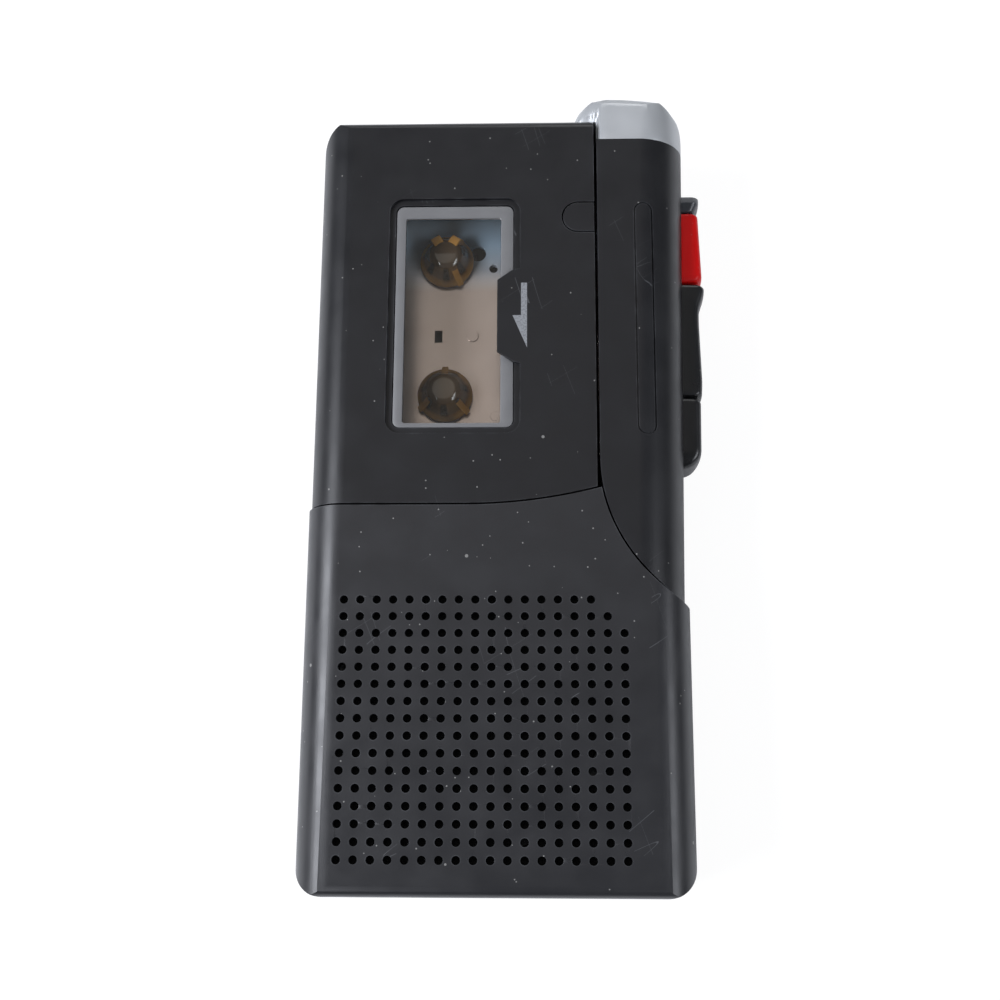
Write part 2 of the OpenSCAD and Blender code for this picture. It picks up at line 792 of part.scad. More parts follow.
module lid_catch() {
  flange = 0.8;
  travel_room = 0.05;
  color("#2d2d2e") {
    along_z(body_t - lid_plate - 0.8, body_t) catch_plan(0);
    intersection() {
      along_z(body_t - lid_plate - 1.6, body_t - lid_plate - travel_room) catch_plan(flange);
      block([0, 0, 0], [lid_x1, body_l, body_t]);
    }
  }
}

module lid_hinge_pins() {
  color("silver") for (y = knuckle_y) bar_y(hinge_x, hinge_z, y - 3, y + knuckle_l + 3, hinge_pin_r);
}

// Two leaf springs under the lid that press on the cassette
module cassette_springs() {
  leaf_t = 0.3;
  leaf_w = 4;
  leaf_z = body_t - lid_plate;
  color("silver") for (y = [bay_y - 15, bay_y + 9])
    along_x(bay_x0 + 2, bay_x0 + 2 + leaf_w)
      polygon([
        [y, leaf_z], [y, leaf_z - leaf_t], [y + 3, leaf_z - leaf_t], [y + 8, leaf_z - 1.4],
        [y + 9, leaf_z - 1], [y + 3.1, leaf_z]
      ]);
}

module battery_door() {
  tongue_x = door_half + door_tongue - clear;
  color("#303032") difference() {
    intersection() {
      case_form(0);
      union() {
        block([-tongue_x + door_tongue, -body_l, -1], [tongue_x - door_tongue, partition_y - 2 * clear, door_t]);
        block([-tongue_x, -body_l, lip + clear], [tongue_x, partition_y - 2 * clear, door_t]);
      }
    }
    // Thumb grooves
    for (i = [0:4])
      bar_x(cell_y[1] + 4 - 2 * i, -0.3, -8, 8, 0.7);
  }
}

module case_screws() {
  color("dimgray") {
    for (at = [low_screw, [-low_screw.x, low_screw.y]]) screw(at, split_z + 6);
    screw(top_screw, split_z + 6);
    screw(bay_screw, deck_z1);
  }
}

module screw(at, z1) {
  head_z = wall - screw_head_t;
  difference() {
    union() {
      disc(at.x, at.y, head_z, wall, screw_head_r);
      disc(at.x, at.y, head_z, z1, screw_r);
    }
    for (turn = [0, 90])
      translate([at.x, at.y, head_z]) rotate(turn) cube([2.2, 0.5, 1], center = true);
  }
}

// Keys on the column's side

// Key cap with an inner flange behind the column's wall and a stem to the mechanism
module key(y0, length, reach, low_r, high_r) {
  x1 = column_side(y0 + length / 2) + key_out;
  wall_x = column_side(y0) - wall - key_slack;
  mid = y0 + length / 2;
  rounded_block(
    [wall_x - flange_t, y0, key_z0], [x1, y0 + length, key_z1],
    [0.5, 1.2, 1.2, 0], [0.3, low_r, high_r, 0.3], [0.6, 0.6, 0.6, 0.6]);
  block([wall_x - flange_t, y0 + 0.5, stem_z0], [wall_x, y0 + length - 0.5, key_z1 + flange_rise]);
  block([reach, mid - stem_w / 2, stem_z0], [wall_x, mid + stem_w / 2, stem_z1]);
}

// The caps below the deck's level stop short of the deck's edge
module key_undercut(y0, length) {
  block([0, y0 - 1, 0], [deck_x1 + key_travel + 0.4, y0 + length + 1, stem_z0]);
}

module stop_key() {
  color("#2b2b2c") difference() {
    key(stop_y0, stop_l, bracket_x0 - stem_tail, 3, 1);
    key_undercut(stop_y0, stop_l);
  }
}

module play_key() {
  ridge = 1;
  ridge_l = 3.4;
  y1 = play_y0 + play_l;
  x1 = column_side(play_y0 + play_l / 2) + key_out;
  color("#2b2b2c") difference() {
    union() {
      key(play_y0, play_l, head_x1 + clear, 1.2, 0.8);
      rounded_block(
        [x1 - 2, y1 - ridge_l, key_z0], [x1 + ridge, y1, key_z1],
        [0, 1.2, 1.2, 0], [0, 1.4, 0.8, 0], [0.6, 0.6, 0.6, 0.6]);
    }
    key_undercut(play_y0, play_l);
  }
}

module record_key() {
  color("#a51414") difference() {
    key(record_y0, record_l, bracket_x0 - stem_tail, 1.6, 0.8);
    key_undercut(record_y0, record_l);
  }
}

module pause_slider() {
  x1 = column_side(pause_y0) + key_out;
  wall_x = column_side(pause_y0) - wall - key_slack;
  color("#3b3d42") difference() {
    union() {
      along_z(key_z0 + 0.5, key_z1)
        polygon([
          [wall_x - flange_t, pause_y0], [x1 - 1.2, pause_y0], [x1, pause_y0 + pause_l - 1.4],
          [x1 + 0.2, pause_y0 + pause_l - 0.7], [x1, pause_y0 + pause_l], [wall_x - flange_t, pause_y0 + pause_l]
        ]);
      block([wall_x - flange_t, pause_y0 + 0.2, stem_z0], [wall_x, pause_y0 + pause_l, key_z1 + flange_rise]);
    }
    key_undercut(pause_y0, pause_l);
  }
}

// Coil of round wire along X, swept as one tube
module coil(turns, length, r, wire_r) {
  rings = turns * 8;
  sides = 6;
  points = [
    for (i = [0:rings], k = [0:sides - 1])
      let (
        t = i / rings,
        turn = 360 * turns * t,
        around = 360 * k / sides,
        climb = atan2(length, 2 * PI * r * turns),
        out = r + wire_r * cos(around),
        lean = wire_r * sin(around)
      )
      [length * t + lean * cos(climb), out * cos(turn) + lean * sin(climb) * sin(turn),
        out * sin(turn) - lean * sin(climb) * cos(turn)]
  ];
  walls = [
    for (i = [0:rings - 1], k = [0:sides - 1])
      let (a = i * sides + k, b = i * sides + (k + 1) % sides)
      each [[a, b, a + sides], [b, b + sides, a + sides]]
  ];
  ends = [
    for (k = [1:sides - 2])
      each [[0, k + 1, k], [rings * sides, rings * sides + k, rings * sides + k + 1]]
  ];
  polyhedron(points, concat(walls, ends));
}

module key_spring(y0, length) {
  x0 = bracket_x0 + bracket_t + spring_wire_r + 0.05;
  x1 = column_side(y0) - wall - key_slack - flange_t - spring_wire_r - 0.05;
  translate([x0, y0 + length / 2, spring_z]) coil(4, x1 - x0, spring_r, spring_wire_r);
}

module stop_spring() {
  color("silver") key_spring(stop_y0, stop_l);
}

module play_spring() {
  color("silver") key_spring(play_y0, play_l);
}

module record_spring() {
  color("silver") key_spring(record_y0, record_l);
}

module key_bracket() {
  foot = 1.2;
  y0 = stop_y0 - 0.5;
  y1 = pause_y0 - 1;
  color("lightgray") difference() {
    union() {
      block([bracket_x0, y0, deck_z1], [bracket_x0 + bracket_t, y1, deck_z1 + bracket_h]);
      for (y = [y0, y1 - 2 * foot])
        block([bracket_x0, y, deck_z1], [bracket_x0 + bracket_t + foot, y + 2 * foot, deck_z1 + 0.15]);
    }
    for (at = [[stop_y0, stop_l], [play_y0, play_l], [record_y0, record_l]]) {
      mid = at[0] + at[1] / 2;
      block([0, mid - stem_w / 2 - clear, 0], [body_w, mid + stem_w / 2 + clear, stem_z1 + clear]);
    }
  }
}

// Deck and cassette bay

module deck_plate() {
  window_hole = [spindle_x + 5.4, supply_y + 1.9];
  color("#c9c2b6") difference() {
    union() {
      block([deck_x0, deck_y0, deck_z0], [deck_x1, deck_y1, deck_z1]);
      block([deck_x0, motor_y - motor_r, deck_z0], [motor_x + motor_r, deck_y0 + 1, deck_z1]);
      for (y = stud_y) disc(stud_x, y, deck_z0, head_z1 + 0.6, stud_r);
      disc(spindle_x + 4.6, bay_y - 1.3, deck_z0, deck_z1 + 0.25, 1);
    }
    for (y = [take_y, supply_y]) disc(spindle_x, y, 0, body_t, 2.5 * pin_r);
    disc(capstan_x, capstan_y, 0, body_t, bush_r);
    disc(idler_x, idler_y, 0, body_t, idler_pin_r);
    disc(motor_x, motor_y, 0, body_t, pulley_r + 0.4);
    for (at = concat([top_screw, bay_screw], deck_screw)) disc(at.x, at.y, 0, body_t, screw_r + clear / 2);
    disc(window_hole.x, window_hole.y, 0, body_t, 1.45);
    disc(window_hole.x + 2.8, window_hole.y - 2.9, 0, body_t, 0.75);
    block([spindle_x - 2, bay_y - 2.4, 0], [spindle_x - 0.7, bay_y - 0.2, body_t]);
  }
}

module deck_screws() {
  color("silver") for (at = deck_screw) {
    difference() {
      union() {
        disc(at.x, at.y, deck_z1, deck_z1 + screw_head_t, screw_head_r);
        disc(at.x, at.y, deck_z1 - 5, deck_z1 + 1, screw_r);
      }
      for (turn = [0, 90])
        translate([at.x, at.y, deck_z1 + screw_head_t]) rotate(turn) cube([2.2, 0.5, 1], center = true);
    }
  }
}

module cassette_frame() {
  ledge = 4;
  x0 = bay_x0 - frame_t;
  z1 = deck_z1 + frame_h;
  color("#2a2a2b") difference() {
    block([x0, bay_y0 - frame_t, deck_z1], [bay_x1, bay_y1 + frame_t, z1]);
    block([bay_x0, bay_y0, 0], [body_w, bay_y1, body_t]);
  }
  color("#2a2a2b") for (y = [bay_y0, bay_y1 - ledge], x = [bay_x0, bay_x1 - 2 * ledge])
    block([x, y, deck_z1], [x + ledge, y + ledge, deck_z1 + 0.8]);
}

// Spindles and gears

module spindle(y) {
  fin_r = spindle_r - clear;
  fin_half = 0.5;
  disc_t = 1;
  base_z = deck_z1 + 0.3;
  neck_r = 2.5;
  bore_r = 1.7 * pin_r;
  tip_z = deck_z1 + spindle_h;
  translate([spindle_x, y, 0]) difference() {
    union() {
      disc(0, 0, base_z, base_z + disc_t, spindle_r);
      disc(0, 0, base_z, tip_z - 0.8, neck_r);
      disc(0, 0, tip_z - 0.9, tip_z, neck_r - 0.7);
      for (turn = [90, 210, 330])
        rotate(turn) along_y(-fin_half, fin_half)
          polygon([
            [0, base_z + disc_t / 2], [fin_r, base_z + disc_t / 2], [fin_r, base_z + disc_t],
            [neck_r + 1.1, base_z + 2.2], [neck_r - 0.4, tip_z - 1.2], [0, tip_z - 1.2]
          ]);
    }
    disc(0, 0, 0, base_z + 2.4, bore_r);
  }
}

module takeup_spindle() {
  color("#6a4a2e") spindle(take_y);
}

module supply_spindle() {
  color("#6a4a2e") spindle(supply_y);
}

// Flank points of one involute tooth, from the root to the tip
function involute(base, r) =
  let (angle = acos(min(1, base / r))) tan(angle) * 180 / PI - angle;

module gear_outline(teeth, phase) {
  pitch_r = gear_module * teeth / 2;
  base_r = pitch_r * cos(20);
  tip_r = pitch_r + 0.8 * gear_module;
  root_r = pitch_r - 1.1 * gear_module;
  low_r = max(base_r, root_r);
  steps = 3;
  thin = 8 / teeth;
  half = 90 / teeth - thin + involute(base_r, pitch_r);
  tooth = [
    for (i = [0:steps])
      let (r = low_r + (tip_r - low_r) * i / steps) [r, half - involute(base_r, r)]
  ];
  rotate(phase) {
    circle(root_r);
    for (i = [0:teeth - 1])
      rotate(360 * i / teeth)
        polygon(concat(
          [[0, 0]],
          [for (p = tooth) [p[0] * cos(-p[1]), p[0] * sin(-p[1])]],
          [for (i = [steps:-1:0]) [tooth[i][0] * cos(tooth[i][1]), tooth[i][0] * sin(tooth[i][1])]]));
  }
}

module spindle_gear(y, phase) {
  sleeve_r = 1.7 * pin_r;
  difference() {
    union() {
      translate([spindle_x, y, 0]) along_z(gear_z0, gear_z1) gear_outline(spindle_teeth, phase);
      disc(spindle_x, y, gear_z1 - 0.1, deck_z1 + 2.7, sleeve_r);
    }
    disc(spindle_x, y, 0, body_t, pin_r + run_gap);
  }
}

module takeup_gear() {
  color("ivory") spindle_gear(take_y, takeup_phase);
}

module supply_gear() {
  color("ivory") spindle_gear(supply_y, 0);
}

module spindle_pins() {
  color("silver") for (y = [take_y, supply_y]) disc(spindle_x, y, floor_z, deck_z1 + 2.5, pin_r);
}

module idler_gear() {
  color("ivory") difference() {
    translate([idler_x, idler_y, 0]) along_z(gear_z0, gear_z1) gear_outline(idler_teeth, idler_phase);
    disc(idler_x, idler_y, 0, body_t, idler_pin_r + run_gap);
  }
}

module idler_post() {
  color("silver") {
    disc(idler_x, idler_y, gear_z0 - 0.1, deck_z1, idler_pin_r);
    disc(idler_x, idler_y, gear_z0 - 0.5, gear_z0 - 0.1, 2 * idler_pin_r);
  }
}

module capstan_shaft() {
  color("silver") disc(capstan_x, capstan_y, shaft_foot_z, deck_z1 + 7, capstan_r);
}

module capstan_gear() {
  color("ivory") difference() {
    translate([capstan_x, capstan_y, 0]) along_z(flywheel_z1, gear_z1) gear_outline(pinion_teeth, pinion_phase);
    disc(capstan_x, capstan_y, 0, body_t, capstan_r);
  }
}

module capstan_bush() {
  color("goldenrod") difference() {
    union() {
      disc(capstan_x, capstan_y, deck_z0 - 0.4, deck_z1 + 1, bush_r);
      disc(capstan_x, capstan_y, deck_z1, deck_z1 + 0.6, bush_rim_r);
    }
    disc(capstan_x, capstan_y, 0, body_t, capstan_r + run_gap);
  }
}

module wheel_section(r, z0, z1) {
  half = belt_t / 2 + 0.1;
  polygon([
    [0, z0], [r, z0], [r, belt_z - half], [r - groove_depth, belt_z - half],
    [r - groove_depth, belt_z + half], [r, belt_z + half], [r, z1], [0, z1]
  ]);
}

module flywheel() {
  color("#b8a060") difference() {
    translate([capstan_x, capstan_y, 0]) rotate_extrude() wheel_section(flywheel_r, flywheel_z0, flywheel_z1);
    disc(capstan_x, capstan_y, 0, body_t, capstan_r);
  }
}

module motor_pulley() {
  color("#b8a060") union() {
    translate([motor_x, motor_y, 0]) rotate_extrude() wheel_section(pulley_r, belt_z - 1.2, belt_z + 1.2);
    disc(motor_x, motor_y, belt_z, deck_z1 + 3, capstan_r);
  }
}

// Belt loop: arcs round both wheels joined by their outer tangents
module drive_belt() {
  span = [capstan_x - motor_x, capstan_y - motor_y];
  reach = norm(span);
  heading = atan2(span.y, span.x);
  wheel = flywheel_r - groove_depth + 0.1;
  nose = pulley_r - groove_depth + 0.1;
  lift = acos((nose - wheel) / reach);
  steps = 16;
  color("#222222") translate([motor_x, motor_y, 0]) rotate(heading)
    along_z(belt_z - belt_t / 2, belt_z + belt_t / 2) difference() {
      belt_loop(reach, wheel + belt_t, nose + belt_t, lift, steps);
      belt_loop(reach, wheel, nose, lift, steps);
    }
}

module belt_loop(reach, wheel, nose, lift, steps) {
  stretch = 1 / cos(90 / steps);
  outer = wheel * stretch;
  inner = nose * stretch;
  far = [for (i = [0:steps]) lift - 2 * lift * i / steps];
  near = [for (i = [0:steps]) -lift - (360 - 2 * lift) * i / steps];
  polygon(concat(
    [for (a = far) [reach + outer * cos(a), outer * sin(a)]],
    [for (a = near) [inner * cos(a), inner * sin(a)]]));
}

module drive_motor() {
  color("#b4b6b8") difference() {
    union() {
      disc(motor_x, motor_y, deck_z1, deck_z1 + motor_h, motor_r);
      disc(motor_x, motor_y, deck_z0, deck_z1 + 1, pulley_r + 0.3);
    }
    disc(motor_x, motor_y, 0, deck_z1 + 3.2, capstan_r + run_gap);
  }
}

// Sliding head plate

module head_plate() {
  slot_half = stud_r + clear / 2;
  bush_room = bush_rim_r + clear;
  color("#bfc1c4") difference() {
    block([head_x0, head_y0, head_z0], [head_x1, head_y1, head_z1]);
    // Notch that clears the capstan bush when the plate is forward
    block([0, capstan_y - bush_room, 0], [capstan_x + key_travel + bush_room, capstan_y + bush_room, body_t]);
    for (y = stud_y) {
      block([stud_x, y - slot_half, 0], [stud_x + key_travel, y + slot_half, body_t]);
      for (x = [stud_x, stud_x + key_travel]) disc(x, y, 0, body_t, slot_half);
    }
  }
}

module play_head() {
  nose = 0.9;
  nose_r = 4;
  color("#8f9296") intersection() {
    block([head_x0 - nose, bay_y - 3.4, head_z1], [head_x0 + 0.52 * head_w, bay_y + 3.4, head_z1 + 6.6]);
    disc(head_x0 - nose + nose_r, bay_y, 0, body_t, nose_r + 0.01);
  }
  color("#8f9296") block([head_x0 + 0.3 * head_w, bay_y - 4.4, head_z1], [head_x0 + 0.73 * head_w, bay_y + 4.4, head_z1 + 0.8]);
}

module erase_head() {
  color("#3c3c40") block([head_x0 - 0.5, bay_y + 8.6, head_z1], [head_x0 + 0.375 * head_w, bay_y + 12, head_z1 + 5]);
}

module pinch_arm() {
  pivot = [roller_x + 3, capstan_y + 7];
  span = pivot - [roller_x, capstan_y];
  color("#bfc1c4") difference() {
    union() {
      for (at = [pivot, [roller_x, capstan_y]]) disc(at.x, at.y, head_z1, head_z1 + arm_t, 1.6);
      translate([roller_x, capstan_y, head_z1]) rotate(atan2(span.y, span.x))
        block([0, -1.2, 0], [norm(span), 1.2, arm_t]);
    }
    disc(roller_x, capstan_y, 0, body_t, axle_r);
  }
}

module pinch_axle() {
  color("silver") {
    disc(roller_x, capstan_y, head_z1, head_z1 + arm_t + 5, axle_r);
    disc(roller_x, capstan_y, head_z1 + arm_t + 4.6, head_z1 + arm_t + 5, 1);
  }
}

module pinch_roller() {
  color("#1e1e1e") difference() {
    disc(roller_x, capstan_y, head_z1 + arm_t + clear, head_z1 + arm_t + 4.4, roller_r);
    disc(roller_x, capstan_y, 0, body_t, axle_r + run_gap);
  }
}

// Circuit board, volume and switches

module circuit_board() {
  color("#3f6b3a") difference() {
    block([board_x0, board_y0, board_z0], [board_x1, board_y1, board_z1]);
    disc(low_screw.x, low_screw.y, 0, body_t, post_r + 0.4);
    for (at = board_post) disc(at.x, at.y, 0, body_t, screw_r + clear / 2);
    disc(dial_x, dial_y, 0, body_t, pot_shaft_r);
  }
}

module board_components() {
  color("#202022") block([board_x0 + 6, board_y0 + 6, board_z1], [board_x0 + 15, board_y0 + 11, board_z1 + 1.8]);
  color("#1c2f5a") for (i = [0:2])
    disc(board_x0 + 3 + 6 * i, board_y1 - 8, board_z1, board_z1 + 5, 2.2);
  color("#b8895a") for (i = [0:4])
    translate([board_x0 + 5 + 2.6 * i, board_y0 + 2, board_z1]) cube([1.2, 2.4, 0.7]);
}

module board_screws() {
  color("silver") for (at = board_post) {
    disc(at.x, at.y, board_z1, board_z1 + 1.1, screw_head_r);
    disc(at.x, at.y, board_z1 - 4, board_z1 + 0.5, screw_r);
  }
}

module volume_dial() {
  teeth = 44;
  color("#2b2b2c") difference() {
    disc(dial_x, dial_y, dial_z0, dial_z1, dial_r);
    for (i = [0:teeth - 1])
      translate([dial_x, dial_y, 0]) rotate(360 * i / teeth) disc(dial_r + 0.15, 0, 0, body_t, 0.4);
    disc(dial_x, dial_y, 0, body_t, pot_shaft_r + run_gap);
  }
}

module volume_control() {
  color("#7a7c80") {
    disc(dial_x, dial_y, board_z0 - pot_t, board_z0, pot_r);
    disc(dial_x, dial_y, dial_z0 - 0.2, board_z1 + 0.4, pot_shaft_r);
    disc(dial_x, dial_y, dial_z0 - 0.9, dial_z0 - 0.15, 2 * pot_shaft_r);
  }
}

module jack(x) {
  color("#2a2a2b") difference() {
    union() {
      block([x - jack_half, end - wall - jack_deep, floor_z], [x + jack_half, end - wall - 0.3, jack_z + jack_half]);
      bar_y(x, jack_z, end - wall - 1, end, jack_nose_r);
    }
    bar_y(x, jack_z, end - wall - jack_deep + 1, end + 1, jack_d / 2);
  }
}

module earphone_jack() {
  jack(jack_x[0]);
}

module microphone_jack() {
  jack(jack_x[1]);
}

module power_jack() {
  jack(jack_x[2]);
  color("silver") bar_y(jack_x[2], jack_z, end - wall - jack_deep, end - 1, 0.65);
}

module speed_switch() {
  y0 = switch_y - 3;
  inner_x = -side + wall;
  color("#4a4a4c") difference() {
    block([inner_x, y0, switch_z - 1.5], [inner_x + 4.5, y0 + switch_l, switch_z + 3.4]);
    block([inner_x - 1, switch_y - 1 - clear, switch_z - 1 - clear],
      [inner_x + 1 + clear, switch_y + 1 + switch_travel + clear, switch_z + 1 + clear]);
  }
}

module speed_knob() {
  color("#2b2b2c") {
    block([-side - 0.7, switch_y - 1.5, switch_z - 1.5], [-side + wall - clear, switch_y + 1.5, switch_z + 1.5]);
    block([-side + wall - clear - 0.1, switch_y - 1, switch_z - 1], [-side + wall + 1, switch_y + 1, switch_z + 1]);
  }
}

// Sound

module speaker_basket() {
  color("#8c8e92") difference() {
    translate([grille_x, grille_y, 0]) rotate_extrude()
      polygon([
        [8, speaker_z0 + 1.6], [10, speaker_z0 + 1.6], [speaker_ledge, speaker_z1 - 1.6],
        [speaker_r, speaker_z1 - 1.6], [speaker_r, speaker_z1], [speaker_r - 1.2, speaker_z1],
        [speaker_r - 1.2, speaker_z1 - 1], [speaker_ledge, speaker_z1 - 1], [9.8, speaker_z0 + 2.1],
        [8, speaker_z0 + 2.1]
      ]);
    for (turn = [45:90:315])
      translate([grille_x, grille_y, 0]) rotate(turn)
        block([10.6, -2.5, 0], [speaker_ledge - 0.6, 2.5, speaker_z1]);
  }
}

module speaker_cone() {
  edge_r = speaker_r - 1.4;
  color("#1d1d1e") translate([grille_x, grille_y, 0]) rotate_extrude()
    polygon([
      [0, speaker_z0 + 3.5], [3.5, speaker_z0 + 3.2], [4.6, speaker_z0 + 2.7], [edge_r, speaker_z1 - 0.9],
      [edge_r, speaker_z1 - 0.6], [4.6, speaker_z0 + 3], [3.5, speaker_z0 + 3.5], [0, speaker_z0 + 3.8]
    ]);
}

module speaker_magnet() {
  color("#707276") {
    disc(grille_x, grille_y, speaker_z0, speaker_z0 + 1.6, 8.6);
    disc(grille_x, grille_y, speaker_z0 + 1.5, speaker_z0 + 2.1, 7.8);
    disc(grille_x, grille_y, speaker_z0 + 2, speaker_z0 + 2.9, 2.6);
  }
}

module grille_cloth() {
  margin = 0.9;
  half = (hole_columns - 1) * hole_dx / 2 + margin;
  color("#1b1b1c") difference() {
    block([grille_x - half, grille_y0 - margin, inner_z - cloth_t],
      [grille_x + half, grille_y0 + (hole_rows - 1) * hole_dy + margin, inner_z]);
    speaker_ribs(clear / 2);
    for (x = [-low_screw.x, low_screw.x]) disc(x, low_screw.y, 0, body_t, post_r + clear);
  }
}

module microphone_capsule() {
  color("silver") bar_y(mic_x, mic_z, cap_y0 + 0.4, cap_y1 - wall - 0.8, mic_r);
}

module microphone_boot() {
  color("#1e1e1e") difference() {
    bar_y(mic_x, mic_z, cap_y0 + 1, cap_y1 - wall - clear - cap_cavity_r / 4, mic_r + boot_t);
    bar_y(mic_x, mic_z, 0, cap_y1 - wall - 0.8, mic_r);
    bar_y(mic_x, mic_z, 0, body_l, mic_r - 1.5);
  }
}

// Cells lie across the case, one each way round

module cell(y, turn) {
  nub = 1.5;
  translate([0, y, cell_z]) rotate(turn) {
    bar_x(0, 0, cell_x0 + nub, cell_x0 + cell_l, cell_r);
    bar_x(0, 0, cell_x0, cell_x0 + nub + 0.1, 2.6);
  }
}

module battery_cells() {
  color("#8a8d92") {
    cell(cell_y[0], 0);
    cell(cell_y[1], 180);
  }
}

module battery_contacts() {
  plate = 5;
  wire_r = 0.35;
  color("silver") for (i = [0, 1]) {
    translate([0, cell_y[i], cell_z]) rotate(180 * i) {
      block([-contact_x, -plate, -plate], [-contact_x + contact_t, plate, plate]);
      bar_x(0, 0, -contact_x + contact_t, cell_x0, 1.5);
      block([contact_x - contact_t, -plate, -plate], [contact_x, plate, plate]);
      translate([cell_x0 + cell_l + wire_r + 0.02, 0, 0])
        coil(4, cell_spring_l - wire_r, 3, wire_r);
    }
  }
}

rear_case();
front_housing();
control_column();
microphone_cap();
cassette_lid();
lid_window();
lid_catch();
lid_hinge_pins();
cassette_springs();
battery_door();
case_screws();
stop_key();
play_key();
record_key();
pause_slider();
stop_spring();
play_spring();
record_spring();
key_bracket();
deck_plate();
deck_screws();
cassette_frame();
takeup_spindle();
takeup_gear();
supply_spindle();
supply_gear();
spindle_pins();
idler_gear();
idler_post();
capstan_shaft();
capstan_gear();
capstan_bush();
flywheel();
drive_belt();
drive_motor();
motor_pulley();
head_plate();
play_head();
erase_head();
pinch_arm();
pinch_roller();
pinch_axle();
circuit_board();
board_components();
board_screws();
volume_dial();
volume_control();
speaker_basket();
speaker_cone();
speaker_magnet();
grille_cloth();
microphone_capsule();
microphone_boot();
earphone_jack();
microphone_jack();
power_jack();
speed_switch();
speed_knob();
battery_cells();
battery_contacts();
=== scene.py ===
# %% [markdown]
# # A pocket microcassette recorder
# The solids of the recorder come from a imported CAD part in which every piece already has its place and its
# joint. This lesson dresses that part: it keeps the solids whose shape is right, softens their edges, makes
# the curved small pieces again as numpy surfaces, and gives everything the finish of the real material, with
# some light and shade painted into a few of the colours.

# %% Load the imported part
import math

import bmesh
import bpy
import numpy as np
from mathutils import Matrix, Vector


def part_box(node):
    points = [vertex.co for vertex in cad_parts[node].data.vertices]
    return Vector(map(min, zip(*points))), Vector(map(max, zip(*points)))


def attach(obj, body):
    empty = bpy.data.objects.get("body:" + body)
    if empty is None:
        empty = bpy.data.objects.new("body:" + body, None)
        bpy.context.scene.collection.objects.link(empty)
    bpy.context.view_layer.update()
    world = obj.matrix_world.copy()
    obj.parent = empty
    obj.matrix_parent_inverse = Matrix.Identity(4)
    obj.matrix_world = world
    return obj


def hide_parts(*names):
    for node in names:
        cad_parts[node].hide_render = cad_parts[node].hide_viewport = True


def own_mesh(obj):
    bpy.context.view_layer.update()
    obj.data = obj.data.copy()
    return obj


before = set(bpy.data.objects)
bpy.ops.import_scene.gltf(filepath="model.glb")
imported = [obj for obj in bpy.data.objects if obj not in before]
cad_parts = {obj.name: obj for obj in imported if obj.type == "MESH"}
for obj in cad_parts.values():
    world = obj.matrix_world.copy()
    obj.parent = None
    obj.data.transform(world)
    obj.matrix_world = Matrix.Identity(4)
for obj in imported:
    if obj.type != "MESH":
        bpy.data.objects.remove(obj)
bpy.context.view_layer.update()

MM = 0.001

# %% [markdown]
# Three small helpers serve the whole file. Colours are written as sRGB hex values, the way a paint chart
# gives them, and are turned to linear light once. One function adds a shader node with its settings and
# links. One function turns a grid of points into a mesh, so a shape can stay a formula on whole arrays.

# %% Colour, node and mesh helpers


def linear(code):
    """sRGB hex to linear RGBA: c / 12.92 below 0.04045, else ((c + 0.055) / 1.055) to the power 2.4."""
    c = np.array([int(code[i:i + 2], 16) / 255 for i in (1, 3, 5)])
    low = c / 12.92
    high = ((c + 0.055) / 1.055) ** 2.4
    return (*np.where(c <= 0.04045, low, high), 1.0)


def add(tree, kind, inputs=None, **settings):
    """Adds a node of that kind. Each input takes a value, or a socket to link from."""
    node = tree.nodes.new(kind)
    for name, value in settings.items():
        setattr(node, name, value)
    for name, value in (inputs or {}).items():
        if isinstance(value, bpy.types.NodeSocket):
            tree.links.new(value, node.inputs[name])
        else:
            node.inputs[name].default_value = value
    return node


def smooth(mesh, angle=35):
    """Smooth shading with edges sharper than the angle kept crisp."""
    mesh.polygons.foreach_set("use_smooth", np.ones(len(mesh.polygons), bool))
    mesh.set_sharp_from_angle(angle=math.radians(angle))
    mesh.update()


def skin(name, rings, material, body, ring=False, angle=35):
    """Skins a grid of points, rows by columns, in millimetres. The quad at (i, j) has the corners (i, j),
    (i, j+1), (i+1, j+1), (i+1, j), and columns close round. With ring the rows close round too, as in a
    picture frame, and otherwise a flat face closes the first and the last row."""
    rows, columns = rings.shape[:2]
    along = rows if ring else rows - 1
    i, j = np.meshgrid(np.arange(along), np.arange(columns), indexing="ij")
    after_i = (i + 1) % rows
    after_j = (j + 1) % columns
    corners = [i * columns + j, i * columns + after_j, after_i * columns + after_j, after_i * columns + j]
    faces = np.stack(corners, -1).reshape(-1, 4).tolist()
    if not ring:
        faces.append(list(range(columns))[::-1])
        faces.append(list(range((rows - 1) * columns, rows * columns)))
    mesh = bpy.data.meshes.new(name)
    mesh.from_pydata((rings.reshape(-1, 3) * MM).tolist(), [], faces)
    shell = bmesh.new()
    shell.from_mesh(mesh)
    bmesh.ops.recalc_face_normals(shell, faces=shell.faces)
    shell.to_mesh(mesh)
    shell.free()
    smooth(mesh, angle)
    piece = bpy.data.objects.new(name, mesh)
    bpy.context.scene.collection.objects.link(piece)
    piece.data.materials.append(material)
    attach(piece, body)
    return piece


# %% [markdown]
# The camera looks down on the front face from a little below its middle. Its place was worked out from
# the regular grid of sound holes, so it is given as a point, a line of sight and an up direction.

# %% Camera
EYE = Vector((7.352, -57.226, 241.72)) * MM
SIGHT = Vector((-0.03028, 0.24164, -0.96989)).normalized()
UP = Vector((0.00221, 0.97035, 0.24168))
LENS_MM = 50.4
SENSOR_MM = 36.0

